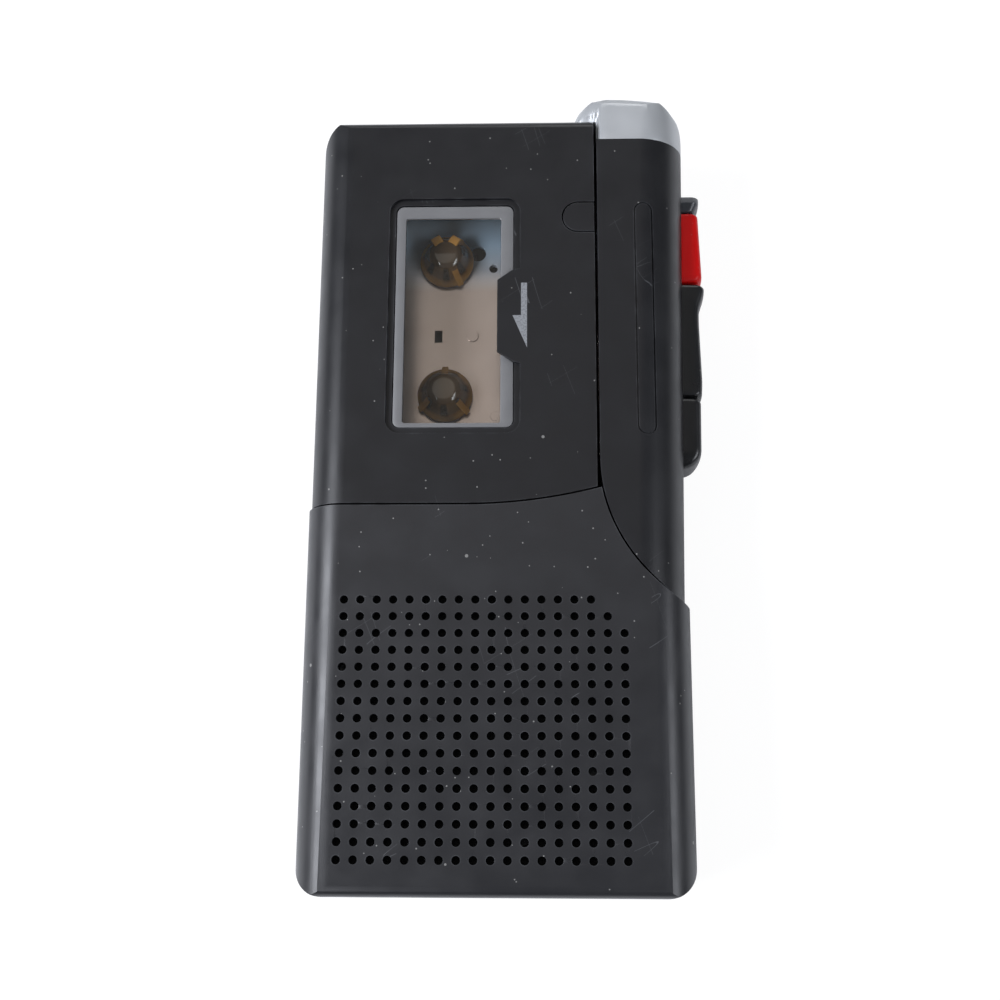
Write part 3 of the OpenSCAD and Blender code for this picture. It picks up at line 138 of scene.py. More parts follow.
right = SIGHT.cross(UP).normalized()
above = right.cross(SIGHT)
camera_data = bpy.data.cameras.new("camera")
camera_data.lens = LENS_MM
camera_data.sensor_width = SENSOR_MM
camera_data.clip_start = 0.01
camera = bpy.data.objects.new("camera", camera_data)
turn = Matrix((right, above, -SIGHT)).transposed().to_4x4()
camera.matrix_world = Matrix.Translation(EYE) @ turn
bpy.context.scene.collection.objects.link(camera)
bpy.context.scene.camera = camera
print("camera is", round(EYE.z * 1000), "mm above the table")

# %% [markdown]
# The table is a pale sheet that runs far past the picture. The camera sees it almost white, and it still
# keeps the soft shadow under the case, because only a part of what the camera sees is lifted to white.
# Long softboxes stand left and right at about 45 degrees, so that their streaks run along the rounded
# sides while the flat front stays dark. A weaker one stands behind, a dim warm card hangs where the deck
# mirrors it, and the sky is a dim bluish grey.

# %% Table, sky and studio lights
TABLE_HALF_MM = 3000
WHITE_STRENGTH = 1.06
WHITE_SHARE = 0.86
table_material = bpy.data.materials.new("pale_paper_sweep")
table_material.use_nodes = True
tree = table_material.node_tree
tree.nodes.clear()
path = add(tree, "ShaderNodeLightPath")
paper = add(tree, "ShaderNodeBsdfDiffuse", {"Color": linear("#f4f4f4")})
white = add(tree, "ShaderNodeEmission", {"Color": linear("#ffffff"), "Strength": WHITE_STRENGTH})
lifted = {0: path.outputs["Is Camera Ray"], 1: WHITE_SHARE}
seen = add(tree, "ShaderNodeMath", lifted, operation="MULTIPLY")
sheet = add(tree, "ShaderNodeMixShader", {0: seen.outputs[0], 1: paper.outputs[0], 2: white.outputs[0]})
add(tree, "ShaderNodeOutputMaterial", {"Surface": sheet.outputs[0]})

corners = np.array([[-1, -1, 0], [1, -1, 0], [1, 1, 0], [-1, 1, 0]]) * TABLE_HALF_MM * MM
table_mesh = bpy.data.meshes.new("table")
table_mesh.from_pydata(corners.tolist(), [], [[0, 1, 2, 3]])
table = bpy.data.objects.new("table", table_mesh)
table.data.materials.append(table_material)
bpy.context.scene.collection.objects.link(table)

world = bpy.data.worlds.new("studio")
world.use_nodes = True
bpy.context.scene.world = world
tree = world.node_tree
tree.nodes.clear()
path = add(tree, "ShaderNodeLightPath")
dim = add(tree, "ShaderNodeBackground", {"Color": linear("#dbe4ee"), "Strength": 0.18})
bright = add(tree, "ShaderNodeBackground", {"Color": linear("#ffffff"), "Strength": 1.0})
both = {0: path.outputs["Is Camera Ray"], 1: dim.outputs[0], 2: bright.outputs[0]}
sky = add(tree, "ShaderNodeMixShader", both)
add(tree, "ShaderNodeOutputWorld", {"Surface": sky.outputs[0]})


def softbox(name, place_mm, aim_mm, size_mm, watts, code="#ffffff"):
    """A rectangular area light at a place, turned so that its -Z axis points at the aim."""
    data = bpy.data.lights.new(name, "AREA")
    data.shape = "RECTANGLE"
    data.size = size_mm[0] * MM
    data.size_y = size_mm[1] * MM
    data.energy = watts
    data.color = linear(code)[:3]
    lamp = bpy.data.objects.new(name, data)
    lamp.location = Vector(place_mm) * MM
    lamp.rotation_euler = (Vector(aim_mm) - Vector(place_mm)).to_track_quat("-Z", "Y").to_euler()
    bpy.context.scene.collection.objects.link(lamp)


softbox("left_softbox", (-430, -60, 420), (-20, -20, 10), (420, 270), 6.0, "#f4f7ff")
softbox("right_softbox", (430, -130, 400), (20, -20, 10), (360, 220), 1.8, "#f4f7ff")
softbox("back_softbox", (40, 560, 330), (0, 20, 10), (420, 200), 1.0)
softbox("top_card", (-40, 230, 720), (-8, 29, 11), (420, 300), 0.24, "#fff6ee")
bpy.context.scene.view_settings.view_transform = "Standard"
print("table, sky and", len(bpy.data.lights), "lights")

# %% [markdown]
# Every finish is built from a few small shader steps. A texture scale is worked out from a size in
# millimetres, and all patterns lie on Object coordinates, so that they stay on a piece when it moves.
# Moulded plastic is never one colour: it has faint clouds from the melt, a spark-eroded grain, dust,
# hairlines and rubbed edges.

# %% Shader steps


def surface(name):
    """A new material, its node tree, its shader and its Object coordinates."""
    made = bpy.data.materials.new(name)
    made.use_nodes = True
    tree = made.node_tree
    place = add(tree, "ShaderNodeTexCoord").outputs["Object"]
    return made, tree, tree.nodes["Principled BSDF"], place


def calc(tree, operation, first, second=0.0):
    """One step of arithmetic on two numbers."""
    return add(tree, "ShaderNodeMath", {0: first, 1: second}, operation=operation).outputs[0]


def ramp(tree, value, low, high, out_low=0.0, out_high=1.0):
    """A straight ramp from low to high, held at its ends."""
    limits = {"From Min": low, "From Max": high, "To Min": out_low, "To Max": out_high}
    return add(tree, "ShaderNodeMapRange", {"Value": value, **limits}).outputs["Result"]


def mix(tree, share, first, second):
    """The second colour laid over the first by a share."""
    return add(tree, "ShaderNodeMix", {0: share, 6: first, 7: second}, data_type="RGBA").outputs[2]


def clouds(tree, place, size_mm, detail=3.0):
    """Soft noise whose blots are about that wide."""
    scale = {"Scale": 1 / (size_mm * MM), "Detail": detail}
    return add(tree, "ShaderNodeTexNoise", {"Vector": place, **scale}).outputs["Fac"]


def stretched(tree, place, size_mm, turn=0.0):
    """Coordinates turned about Z and then divided by a size for each axis, for a pattern of unit
    scale."""
    size = [length * MM for length in size_mm]
    inputs = {"Vector": place, "Rotation": (0, 0, math.radians(turn)), "Scale": size}
    return add(tree, "ShaderNodeMapping", inputs, vector_type="TEXTURE").outputs["Vector"]


def specks(tree, place, cell_mm, radius_mm):
    """One where a dust speck lies: a ball of that radius in each cell of a Voronoi pattern, cut by the
    surface."""
    cells = add(tree, "ShaderNodeTexVoronoi", {"Vector": place, "Scale": 1 / (cell_mm * MM)})
    return calc(tree, "LESS_THAN", cells.outputs["Distance"], radius_mm / cell_mm)


def hairlines(tree, place, turn, width):
    """One on thin wandering lines: the places where noise stretched along one way passes its middle
    value."""
    way = stretched(tree, place, (90, 5, 5), turn)
    lines = add(tree, "ShaderNodeTexNoise", {"Vector": way, "Scale": 1.0, "Detail": 1.0}).outputs["Fac"]
    near = calc(tree, "LESS_THAN", calc(tree, "ABSOLUTE", calc(tree, "SUBTRACT", lines, 0.5)), width)
    return calc(tree, "MULTIPLY", near, calc(tree, "GREATER_THAN", clouds(tree, place, 14, 1.0), 0.64))


def edges(tree, radius_mm):
    """How near a sharp edge is: one less the product of the true normal and the normal of a rounded
    copy."""
    rounded = add(tree, "ShaderNodeBevel", {"Radius": radius_mm * MM}, samples=4).outputs[0]
    true = add(tree, "ShaderNodeNewGeometry").outputs["Normal"]
    same = add(tree, "ShaderNodeVectorMath", {0: rounded, 1: true}, operation="DOT_PRODUCT").outputs["Value"]
    return ramp(tree, same, 0.98, 0.80)


def shade(code, factor):
    """A colour made lighter or darker in linear light."""
    return (*(np.array(linear(code)[:3]) * factor), 1.0)


def moulded(name, code, rough, rub_code, dust=1.0, rub=0.35, grain=0.25, scratch=0.14,
            gloss_level=0.4):
    """Injection moulded ABS: clouds 12 mm wide, grain 0.35 mm wide, dust of two sizes, hairlines, rubbed
    edges."""
    made, tree, shader, place = surface(name)
    tone = mix(tree, clouds(tree, place, 12), shade(code, 0.86), shade(code, 1.14))
    worn = calc(tree, "MULTIPLY", edges(tree, 0.35), ramp(tree, clouds(tree, place, 3), 0.35, 0.7, 0.0, rub))
    tone = mix(tree, worn, tone, linear(rub_code))
    lines = calc(tree, "MAXIMUM", hairlines(tree, place, 33, 0.0014), hairlines(tree, place, 108, 0.0014))
    tone = mix(tree, calc(tree, "MULTIPLY", lines, scratch), tone, linear("#8b8d90"))
    dots = calc(tree, "MAXIMUM", specks(tree, place, 2.4, 0.13), specks(tree, place, 7, 0.3))
    dots = calc(tree, "MULTIPLY", dots, 0.5 * dust)
    tone = mix(tree, dots, tone, linear("#8f8e8b"))
    tree.links.new(tone, shader.inputs["Base Color"])
    gloss = ramp(tree, clouds(tree, place, 6), 0.3, 0.7, rough - 0.05, rough + 0.05)
    tree.links.new(gloss, shader.inputs["Roughness"])
    fine = clouds(tree, place, 0.35, 2.0)
    bump = add(tree, "ShaderNodeBump", {"Height": fine, "Strength": grain, "Distance": 0.02 * MM})
    tree.links.new(bump.outputs[0], shader.inputs["Normal"])
    shader.inputs["Specular IOR Level"].default_value = gloss_level
    return made


def metal(name, code, rough, metallic=1.0, streak_mm=(14, 0.5, 0.5), dust=0.3):
    """Rolled or turned metal: streaks along one way move the tone and the gloss, with clouds and a little
    dust."""
    made, tree, shader, place = surface(name)
    way = stretched(tree, place, streak_mm)
    streaks = add(tree, "ShaderNodeTexNoise", {"Vector": way, "Scale": 1.0, "Detail": 2.0}).outputs["Fac"]
    both = calc(tree, "MULTIPLY", calc(tree, "ADD", streaks, clouds(tree, place, 9)), 0.5)
    tone = mix(tree, ramp(tree, both, 0.35, 0.65), shade(code, 0.93), shade(code, 1.05))
    tone = mix(tree, calc(tree, "MULTIPLY", specks(tree, place, 2.2, 0.12), dust), tone, linear("#4a4540"))
    tree.links.new(tone, shader.inputs["Base Color"])
    gloss = ramp(tree, streaks, 0.3, 0.7, rough * 0.94, rough * 1.06)
    tree.links.new(gloss, shader.inputs["Roughness"])
    shader.inputs["Metallic"].default_value = metallic
    return made


def plain(name, code, rough, spot_mm, vary=0.15, bump_mm=0.02):
    """A body colour with clouds of one size that also lift the surface a little: rubber, paper, board,
    cloth."""
    made, tree, shader, place = surface(name)
    blots = clouds(tree, place, spot_mm, 4.0)
    tone = mix(tree, blots, shade(code, 1 - vary), shade(code, 1 + vary))
    tree.links.new(tone, shader.inputs["Base Color"])
    bump = add(tree, "ShaderNodeBump", {"Height": blots, "Strength": 0.4, "Distance": bump_mm * MM})
    tree.links.new(bump.outputs[0], shader.inputs["Normal"])
    tree.links.new(ramp(tree, blots, 0.3, 0.7, rough - 0.06, rough + 0.06), shader.inputs["Roughness"])
    return made


print("shader steps ready")

# %% [markdown]
# The case is black ABS with a fine spark-eroded grain, and the housing takes a lighter copy of that black as
# painted light. The lid carries a pale printed half arrow that shows which way the tape runs: the print is
# colour alone, so it is a mask in the lid's own finish, cut out of straight lines and worn by noise. The keys
# are smoother plastic, and the cap has a satin silver paint.

# %% Plastics and paint
case_abs = moulded("black_abs_grained", "#18181a", 0.36, "#5e6064", gloss_level=0.32)
# Painted light: the housing is a lighter copy of the case's black, for the light that falls on it more
housing_abs_lit = moulded("black_abs_housing_lit", "#202022", 0.36, "#66686c")
key_abs = moulded("black_abs_smooth", "#19191a", 0.3, "#6c6e72", dust=0.5, grain=0.08)
grey_abs = moulded("grey_abs_smooth", "#303236", 0.34, "#7c7e84", dust=0.5, grain=0.08)
red_abs = moulded("red_abs_smooth", "#bc0606", 0.42, "#d43a32", dust=0.3, grain=0.06, gloss_level=0.2)
silver_paint = moulded("satin_silver_paint", "#a2a4a6", 0.36, "#d8dade", dust=0.3, grain=0.12, scratch=0.1)
silver_paint.node_tree.nodes["Principled BSDF"].inputs["Metallic"].default_value = 0.35
lid_abs = moulded("black_abs_printed", "#18181a", 0.36, "#5e6064", gloss_level=0.32)
tree = lid_abs.node_tree
place = next(node for node in tree.nodes if node.type == "TEX_COORD").outputs["Object"]
spot = add(tree, "ShaderNodeSeparateXYZ", {0: place})
SHAFT_MM = ((4.37, 0.5), (31.45, 2.9))
BARB_TOP_MM = 28.6
BARB_LEFT_MM = 2.46
BARB_SLOPE = 0.4228
ARROW_RIGHT_MM = 4.87
LID_FACE_MM = 23.9


def inside(axis, middle_mm, half_mm):
    """One where a coordinate lies within a half width of its middle."""
    away = calc(tree, "ABSOLUTE", calc(tree, "SUBTRACT", spot.outputs[axis], middle_mm * MM))
    return calc(tree, "LESS_THAN", away, half_mm * MM)


shaft = calc(tree, "MULTIPLY", inside("X", *SHAFT_MM[0]), inside("Y", *SHAFT_MM[1]))
below = calc(tree, "SUBTRACT", BARB_TOP_MM * MM, spot.outputs["Y"])
left = calc(tree, "ADD", calc(tree, "MULTIPLY", below, BARB_SLOPE), BARB_LEFT_MM * MM)
barb = calc(tree, "MULTIPLY", calc(tree, "GREATER_THAN", below, 0.0),
            calc(tree, "GREATER_THAN", spot.outputs["X"], left))
barb = calc(tree, "MULTIPLY", barb, calc(tree, "LESS_THAN", spot.outputs["X"], ARROW_RIGHT_MM * MM))
arrow = calc(tree, "MAXIMUM", shaft, barb)
face = calc(tree, "GREATER_THAN", spot.outputs["Z"], LID_FACE_MM * MM)
ink = calc(tree, "MULTIPLY", face, ramp(tree, clouds(tree, place, 0.3), 0.36, 0.56, 0.6, 0.95))
under = tree.nodes["Principled BSDF"].inputs["Base Color"]
printed = mix(tree, calc(tree, "MULTIPLY", arrow, ink), under.links[0].from_socket, linear("#7b7d80"))
tree.links.new(printed, under)
print("plastics:", len(bpy.data.materials))

# %% [markdown]
# The works are mostly metal: a plated deck, steel pins and screws, brass wheels. Gears are brown acetal, the
# spindles are amber plastic, and rubber, paper, cloth and board fill the rest. The window is clear acrylic
# with a frosted border. A clear pane is drawn as gloss over a see-through sheet. The deck, the key bracket
# and the amber pieces have light and shade painted into their colours.

# %% Metals, works and window
DECK_SEAM_SHADE_X_MM = 14.5
SKY_REFLECTION_Y_MM = (38, 47)
DECK_METALLIC = 0.7
SKY_REFLECTION_METAL_LOSS = 0.5
deck_metal = metal("plated_deck_steel", "#d0bdb4", 0.25, DECK_METALLIC, (7, 7, 7), 0.5)
tree = deck_metal.node_tree
place = next(node for node in tree.nodes if node.type == "TEX_COORD").outputs["Object"]
spot = add(tree, "ShaderNodeSeparateXYZ", {0: place})
# Painted shade: right of this line, under the column, the deck is painted near black for the shade in the
# seam
seam_shade = calc(tree, "GREATER_THAN", spot.outputs["X"], DECK_SEAM_SHADE_X_MM * MM)
# Painted reflection: towards its top end the deck is tinted bluish and made less metallic, a bluish sky
# painted in
painted_sky_reflection = ramp(tree, spot.outputs["Y"], SKY_REFLECTION_Y_MM[0] * MM, SKY_REFLECTION_Y_MM[1] * MM)
plated = tree.nodes["Principled BSDF"].inputs["Base Color"]
tone = mix(tree, painted_sky_reflection, plated.links[0].from_socket, linear("#c3dcf4"))
tree.links.new(mix(tree, seam_shade, tone, linear("#161617")), plated)
bare = calc(tree, "SUBTRACT", DECK_METALLIC, calc(tree, "MULTIPLY", painted_sky_reflection, SKY_REFLECTION_METAL_LOSS))
tree.links.new(bare, tree.nodes["Principled BSDF"].inputs["Metallic"])
# Painted shade: the key bracket is near black steel so that it reads as shade through the seam beside the
# column
seam_shade_steel = metal("dark_steel_seam_shade", "#2b2a2a", 0.45, 0.8, dust=0.1)
steel = metal("bright_steel", "#c2c4c6", 0.3)
brass = metal("turned_brass", "#b8985a", 0.32)
magnet_metal = metal("plated_magnet_iron", "#85878a", 0.4)
motor_metal = metal("drawn_steel_can", "#aeb0b2", 0.35, 0.9)
cell_jacket = metal("plain_cell_jacket", "#8b9096", 0.38, 0.7, (0.5, 20, 0.5))
acetal = plain("brown_acetal", "#3a322b", 0.42, 2.5, 0.1)
rubber = plain("black_rubber", "#171718", 0.78, 1.2)
board_resin = plain("green_resin_board", "#1f4a30", 0.4, 3.0, 0.2)
component_body = plain("black_component_resin", "#202123", 0.5, 1.5)
paper = plain("black_pressed_paper", "#1d1d1e", 0.85, 0.8, 0.25, 0.06)
cloth = plain("black_woven_cloth", "#19191a", 0.95, 0.4, 0.4, 0.1)

SPINDLE_X = -9.4
REEL_Y = {"takeup": 18.6, "supply": 43.4}
RIBS = 7
SKIRT_GLOW_TOP_MM = (12.4, 13.3)
TIP_FOOT_MM = (15.2, 15.6)


def amber_bell(name, middle_y):
    """Amber plastic round one spindle, with light and shade painted in: a painted glow on the thin skirt for
    the light that passes through it, a dark wall with the painted shade of the ribs behind it as darker bars,
    and a duller brown on the thick tip."""
    made, tree, shader, place = surface(name)
    spot = add(tree, "ShaderNodeSeparateXYZ", {0: place})
    east = calc(tree, "SUBTRACT", spot.outputs["X"], SPINDLE_X * MM)
    north = calc(tree, "SUBTRACT", spot.outputs["Y"], middle_y * MM)
    round_about = calc(tree, "MULTIPLY", calc(tree, "ARCTAN2", north, east), RIBS)
    # Painted shade: darker bars round the wall where the ribs behind it hold back the light passing through
    rib_shade = ramp(tree, calc(tree, "SINE", round_about), 0.1, 0.7)
    up = spot.outputs["Z"]
    wall = mix(tree, calc(tree, "MULTIPLY", rib_shade, 0.9), linear("#7c5a32"), linear("#0d0906"))
    # Painted glow: the thin skirt is painted bright amber for the light that passes through it
    tone = mix(tree, ramp(tree, up, SKIRT_GLOW_TOP_MM[0] * MM, SKIRT_GLOW_TOP_MM[1] * MM), linear("#c98f3c"), wall)
    tone = mix(tree, ramp(tree, up, TIP_FOOT_MM[0] * MM, TIP_FOOT_MM[1] * MM), tone, linear("#4b3824"))
    tone = mix(tree, ramp(tree, clouds(tree, place, 1.5), 0.3, 0.7, 0.0, 0.3), tone, linear("#3a2917"))
    tree.links.new(tone, shader.inputs["Base Color"])
    shader.inputs["Roughness"].default_value = 0.12
    shader.inputs["Coat Weight"].default_value = 0.5
    return made


amber = amber_bell("amber_plastic_takeup", REEL_Y["takeup"])
amber_supply = amber_bell("amber_plastic_supply", REEL_Y["supply"])
# Painted glow: the thin fins are painted a brighter amber than the bell's wall, for the light that passes
# through them
amber_thin_glow, tree, shader, place = surface("amber_plastic_thin_painted_glow")
tone = mix(tree, clouds(tree, place, 2.0), linear("#a8702a"), linear("#dca250"))
tree.links.new(tone, shader.inputs["Base Color"])
shader.inputs["Roughness"].default_value = 0.14
shader.inputs["Coat Weight"].default_value = 0.5

frosted, tree, shader, place = surface("frosted_acrylic")
tone = mix(tree, clouds(tree, place, 4), linear("#5a5a5b"), linear("#666667"))
tree.links.new(tone, shader.inputs["Base Color"])
shader.inputs["Roughness"].default_value = 0.42

# Lower than the 1.49 of bare acrylic, because the real window shows hardly any glare
PANE_IOR = 1.28
clear_pane, tree, shader, place = surface("clear_acrylic")
through = add(tree, "ShaderNodeBsdfTransparent", {"Color": linear("#f6f7f6")})
gloss = add(tree, "ShaderNodeBsdfGlossy", {"Color": linear("#ffffff"), "Roughness": 0.05})
film = ramp(tree, clouds(tree, place, 5), 0.4, 0.7, 0.0, 0.01)
share = calc(tree, "ADD", add(tree, "ShaderNodeFresnel", {"IOR": PANE_IOR}).outputs[0], film)
sheet = add(tree, "ShaderNodeMixShader", {0: share, 1: through.outputs[0], 2: gloss.outputs[0]})
tree.links.new(sheet.outputs[0], tree.nodes["Material Output"].inputs["Surface"])
tree.nodes.remove(shader)
print("materials:", len(bpy.data.materials))

# %% [markdown]
# The solids keep their CAD shape. Each one is merged; the cases, keys, deck plates, heads and a few more are
# given a small rounding on their sharp edges, as any moulding or pressing has, and the normals of all but the
# cap follow the larger faces, so that flat walls stay flat in the light. Only the silver cap is bent as well:
# its faces are cut finer, its far end falls to a crown, and its left front edge sinks to the lid.

# %% Finish and edges of the CAD solids
FINISH = {
    lid_abs: ["cassette_lid"],
    case_abs: ["control_column", "lid_catch", "cassette_frame"],
    housing_abs_lit: ["rear_case", "front_housing", "battery_door"],
    key_abs: ["stop_key", "play_key", "volume_dial", "earphone_jack", "microphone_jack", "power_jack",
              "speed_knob"],
    grey_abs: ["pause_slider"],
    red_abs: ["record_key"],
    silver_paint: ["microphone_cap"],
    frosted: ["lid_window"],
    deck_metal: ["deck_plate", "head_plate", "pinch_arm", "idler_post"],
    steel: ["lid_hinge_pins", "cassette_springs", "case_screws", "stop_spring", "play_spring",
            "record_spring", "deck_screws", "spindle_pins", "capstan_shaft", "play_head", "pinch_axle",
            "board_screws",
            "volume_control", "speaker_basket", "microphone_capsule", "battery_contacts"],
    seam_shade_steel: ["key_bracket"],
    brass: ["capstan_bush", "flywheel", "motor_pulley"],
    amber: ["takeup_spindle"],
    amber_supply: ["supply_spindle"],
    acetal: ["takeup_gear", "supply_gear", "idler_gear", "capstan_gear"],
    rubber: ["drive_belt", "pinch_roller", "microphone_boot"],
    board_resin: ["circuit_board"],
    component_body: ["board_components", "erase_head", "speed_switch"],
    paper: ["speaker_cone"],
    cloth: ["grille_cloth"],
    magnet_metal: ["speaker_magnet"],
    motor_metal: ["drive_motor"],
    cell_jacket: ["battery_cells"],
}
ROUNDED = {
    "rear_case": 0.15, "front_housing": 0.12, "control_column": 0.12, "cassette_lid": 0.12, "lid_catch": 0.12,
    "microphone_cap": 0.2, "battery_door": 0.15, "cassette_frame": 0.2, "deck_plate": 0.1, "head_plate": 0.1,
    "pinch_arm": 0.1, "play_head": 0.2, "erase_head": 0.15, "volume_dial": 0.15, "speed_knob": 0.15,
    "battery_cells": 0.2,
}
WELD_MM = 0.001
FLAT_DEGREES = 0.5
SHARP_DEGREES = 30
# The far end of the silver cap falls towards its right side and, less, towards its left side. The places are
# distances from the right side: where a fall starts, where it is deepest, and where it has ended.
CROWN_DROP_MM = (1.0, 0.5)
CROWN_RIGHT_MM = (0.2, 2.0, 13.0)
CROWN_LEFT_MM = (13.2, 15.8, 17.0, 18.6)
CROWN_CUTS = 2
# Left of the column the cap's front edge sinks to the lid's rounded end
SINK_MM = 0.95
SINK_Y_MM = (66.2, 64.8)
SINK_X_MM = (17.3, 16.9)
SINK_Z_MM = (21.0, 22.6)

crisp = bpy.data.node_groups.new("smooth_by_angle", "GeometryNodeTree")
crisp.interface.new_socket("Geometry", in_out="INPUT", socket_type="NodeSocketGeometry")
crisp.interface.new_socket("Geometry", in_out="OUTPUT", socket_type="NodeSocketGeometry")
source = add(crisp, "NodeGroupInput")
whole = add(crisp, "GeometryNodeSetShadeSmooth", {0: source.outputs[0], "Shade Smooth": True}, domain="FACE")
turn = add(crisp, "GeometryNodeInputMeshEdgeAngle").outputs[0]
limit = {0: turn, 1: math.radians(SHARP_DEGREES)}
steep = add(crisp, "FunctionNodeCompare", limit, operation="GREATER_THAN").outputs[0]
kept = {0: whole.outputs[0], "Selection": steep, "Shade Smooth": False}
add(crisp, "NodeGroupOutput", {0: add(crisp, "GeometryNodeSetShadeSmooth", kept, domain="EDGE").outputs[0]})

crowned = bpy.data.node_groups.new("crowned_end", "GeometryNodeTree")
crowned.interface.new_socket("Geometry", in_out="INPUT", socket_type="NodeSocketGeometry")
crowned.interface.new_socket("Geometry", in_out="OUTPUT", socket_type="NodeSocketGeometry")
source = add(crowned, "NodeGroupInput")
triangles = add(crowned, "GeometryNodeTriangulate", {0: source.outputs[0]})
finer = add(crowned, "GeometryNodeSubdivideMesh", {0: triangles.outputs[0], "Level": CROWN_CUTS})
spot = add(crowned, "ShaderNodeSeparateXYZ", {0: add(crowned, "GeometryNodeInputPosition").outputs[0]})
lo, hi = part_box("microphone_cap")
from_right = calc(crowned, "SUBTRACT", hi[0], spot.outputs["X"])


def ease(value, low_mm, high_mm):
    """A ramp from low to high that starts and ends softly: 3 t^2 - 2 t^3."""
    limits = {"Value": value, "From Min": low_mm * MM, "From Max": high_mm * MM}
    return add(crowned, "ShaderNodeMapRange", limits, interpolation_type="SMOOTHSTEP").outputs["Result"]


fade = ramp(crowned, from_right, CROWN_RIGHT_MM[2] * MM, CROWN_RIGHT_MM[1] * MM)
fade = calc(crowned, "MULTIPLY", fade, fade)
right_fall = calc(crowned, "MULTIPLY", ease(from_right, *CROWN_RIGHT_MM[:2]), fade)
left_end = ease(from_right, *CROWN_LEFT_MM[:1:-1])
left_fall = calc(crowned, "MULTIPLY", ease(from_right, *CROWN_LEFT_MM[:2]), left_end)
right_fall = calc(crowned, "MULTIPLY", right_fall, -CROWN_DROP_MM[0] * MM)
left_fall = calc(crowned, "MULTIPLY", left_fall, -CROWN_DROP_MM[1] * MM)
along = ramp(crowned, spot.outputs["Y"], lo[1], hi[1])
fall = calc(crowned, "MULTIPLY", calc(crowned, "ADD", right_fall, left_fall), along)
front = ease(spot.outputs["Z"], *SINK_Z_MM)
sink = calc(crowned, "MULTIPLY", ease(spot.outputs["Y"], *SINK_Y_MM), ease(spot.outputs["X"], *SINK_X_MM))
sink = calc(crowned, "MULTIPLY", calc(crowned, "MULTIPLY", sink, front), -SINK_MM * MM)
offset = add(crowned, "ShaderNodeCombineXYZ", {"Y": fall, "Z": sink}).outputs[0]
bent = add(crowned, "GeometryNodeSetPosition", {0: finer.outputs[0], "Offset": offset})
add(crowned, "NodeGroupOutput", {0: bent.outputs[0]})

for material, names in FINISH.items():
    for name in names:
        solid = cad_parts[name]
        solid.data.materials.clear()
        solid.data.materials.append(material)
        solid.modifiers.new("weld", "WELD").merge_threshold = WELD_MM * MM
        if name in ROUNDED:
            flat = solid.modifiers.new("flat", "DECIMATE")
            flat.decimate_type = "DISSOLVE"
            flat.angle_limit = math.radians(FLAT_DEGREES)
            bevel = solid.modifiers.new("edges", "BEVEL")
            bevel.width = ROUNDED[name] * MM
            bevel.segments = 2
            bevel.limit_method = "ANGLE"
            bevel.angle_limit = math.radians(SHARP_DEGREES)
        if name == "microphone_cap":
            solid.modifiers.new("crown", "NODES").node_group = crowned
        solid.modifiers.new("crisp", "NODES").node_group = crisp
        if name == "microphone_cap":
            continue
        normals = solid.modifiers.new("normals", "WEIGHTED_NORMAL")
        normals.weight = 100
        normals.keep_sharp = True
print("dressed", sum(len(names) for names in FINISH.values()), "solids in", len(FINISH), "finishes")

# %% [markdown]
# The window is one acrylic moulding. Its border is frosted and lies in a shallow recess of the lid, and
# the clear part lies a little lower inside it. Each is drawn as a closed section that follows rounded
# rectangles, like a picture frame: each row of points is one rectangle, with its own inset on each side
# and its own height.

# %% Window border and pane
WINDOW_MM = ((-17.2, 9.4), (2.6, 48.6))
BORDER_MM = np.array([1.6, 0.8, 2.12, 2.2])
CORNER_POINTS = 7


def rounded_loop(inset, radius, z):
    """A rounded rectangle: the window's outline moved in on its left, low, right and high side, a quarter
    circle of the radius at each corner."""
    (x0, y0), (x1, y1) = WINDOW_MM
    left, low, right, high = np.broadcast_to(inset, 4)
    quarter = np.linspace(0, np.pi / 2, CORNER_POINTS)
    angle = np.concatenate([quarter + turn * np.pi / 2 for turn in range(4)])
    right_x = x1 - right - radius
    left_x = x0 + left + radius
    high_y = y1 - high - radius
    low_y = y0 + low + radius
    middle_x = np.repeat([right_x, left_x, left_x, right_x], CORNER_POINTS)
    middle_y = np.repeat([high_y, high_y, low_y, low_y], CORNER_POINTS)
    x = middle_x + radius * np.cos(angle)
    y = middle_y + radius * np.sin(angle)
    return np.stack([x, y, np.full_like(x, z)], -1)


border_rows = np.stack([
    rounded_loop(0.02, 1.2, 22.72),
    rounded_loop(0.02, 1.2, 23.15),
    rounded_loop(0.06, 1.16, 23.26),
    rounded_loop(0.16, 1.1, 23.31),
    rounded_loop(BORDER_MM - 0.12, 0.5, 23.31),
    rounded_loop(BORDER_MM - 0.03, 0.42, 23.27),
    rounded_loop(BORDER_MM, 0.4, 23.18),
    rounded_loop(BORDER_MM + 0.02, 0.35, 22.72),
])
border = skin("window_border", border_rows, frosted, "lid", ring=True)
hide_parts("lid_window")
pane_rows = np.stack([
    rounded_loop(BORDER_MM + 0.1, 0.3, 22.72),
    rounded_loop(BORDER_MM + 0.04, 0.35, 22.78),
    rounded_loop(BORDER_MM + 0.04, 0.35, 23.0),
    rounded_loop(BORDER_MM + 0.1, 0.3, 23.06),
])
pane = skin("window_pane", pane_rows, clear_pane, "lid")
print("window:", len(border.data.polygons), "faces in the border,", len(pane.data.polygons), "in the pane")

# %% [markdown]
# The two spindles that turn the reels are amber plastic bells with three drive fins. A bell is a profile
# turned about the spindle's axis, with a bore for the steel pin it runs on and a flat tip in a sloped
# rim. A fin is a flat outline given a thickness, with its edges drawn in a little at both faces.

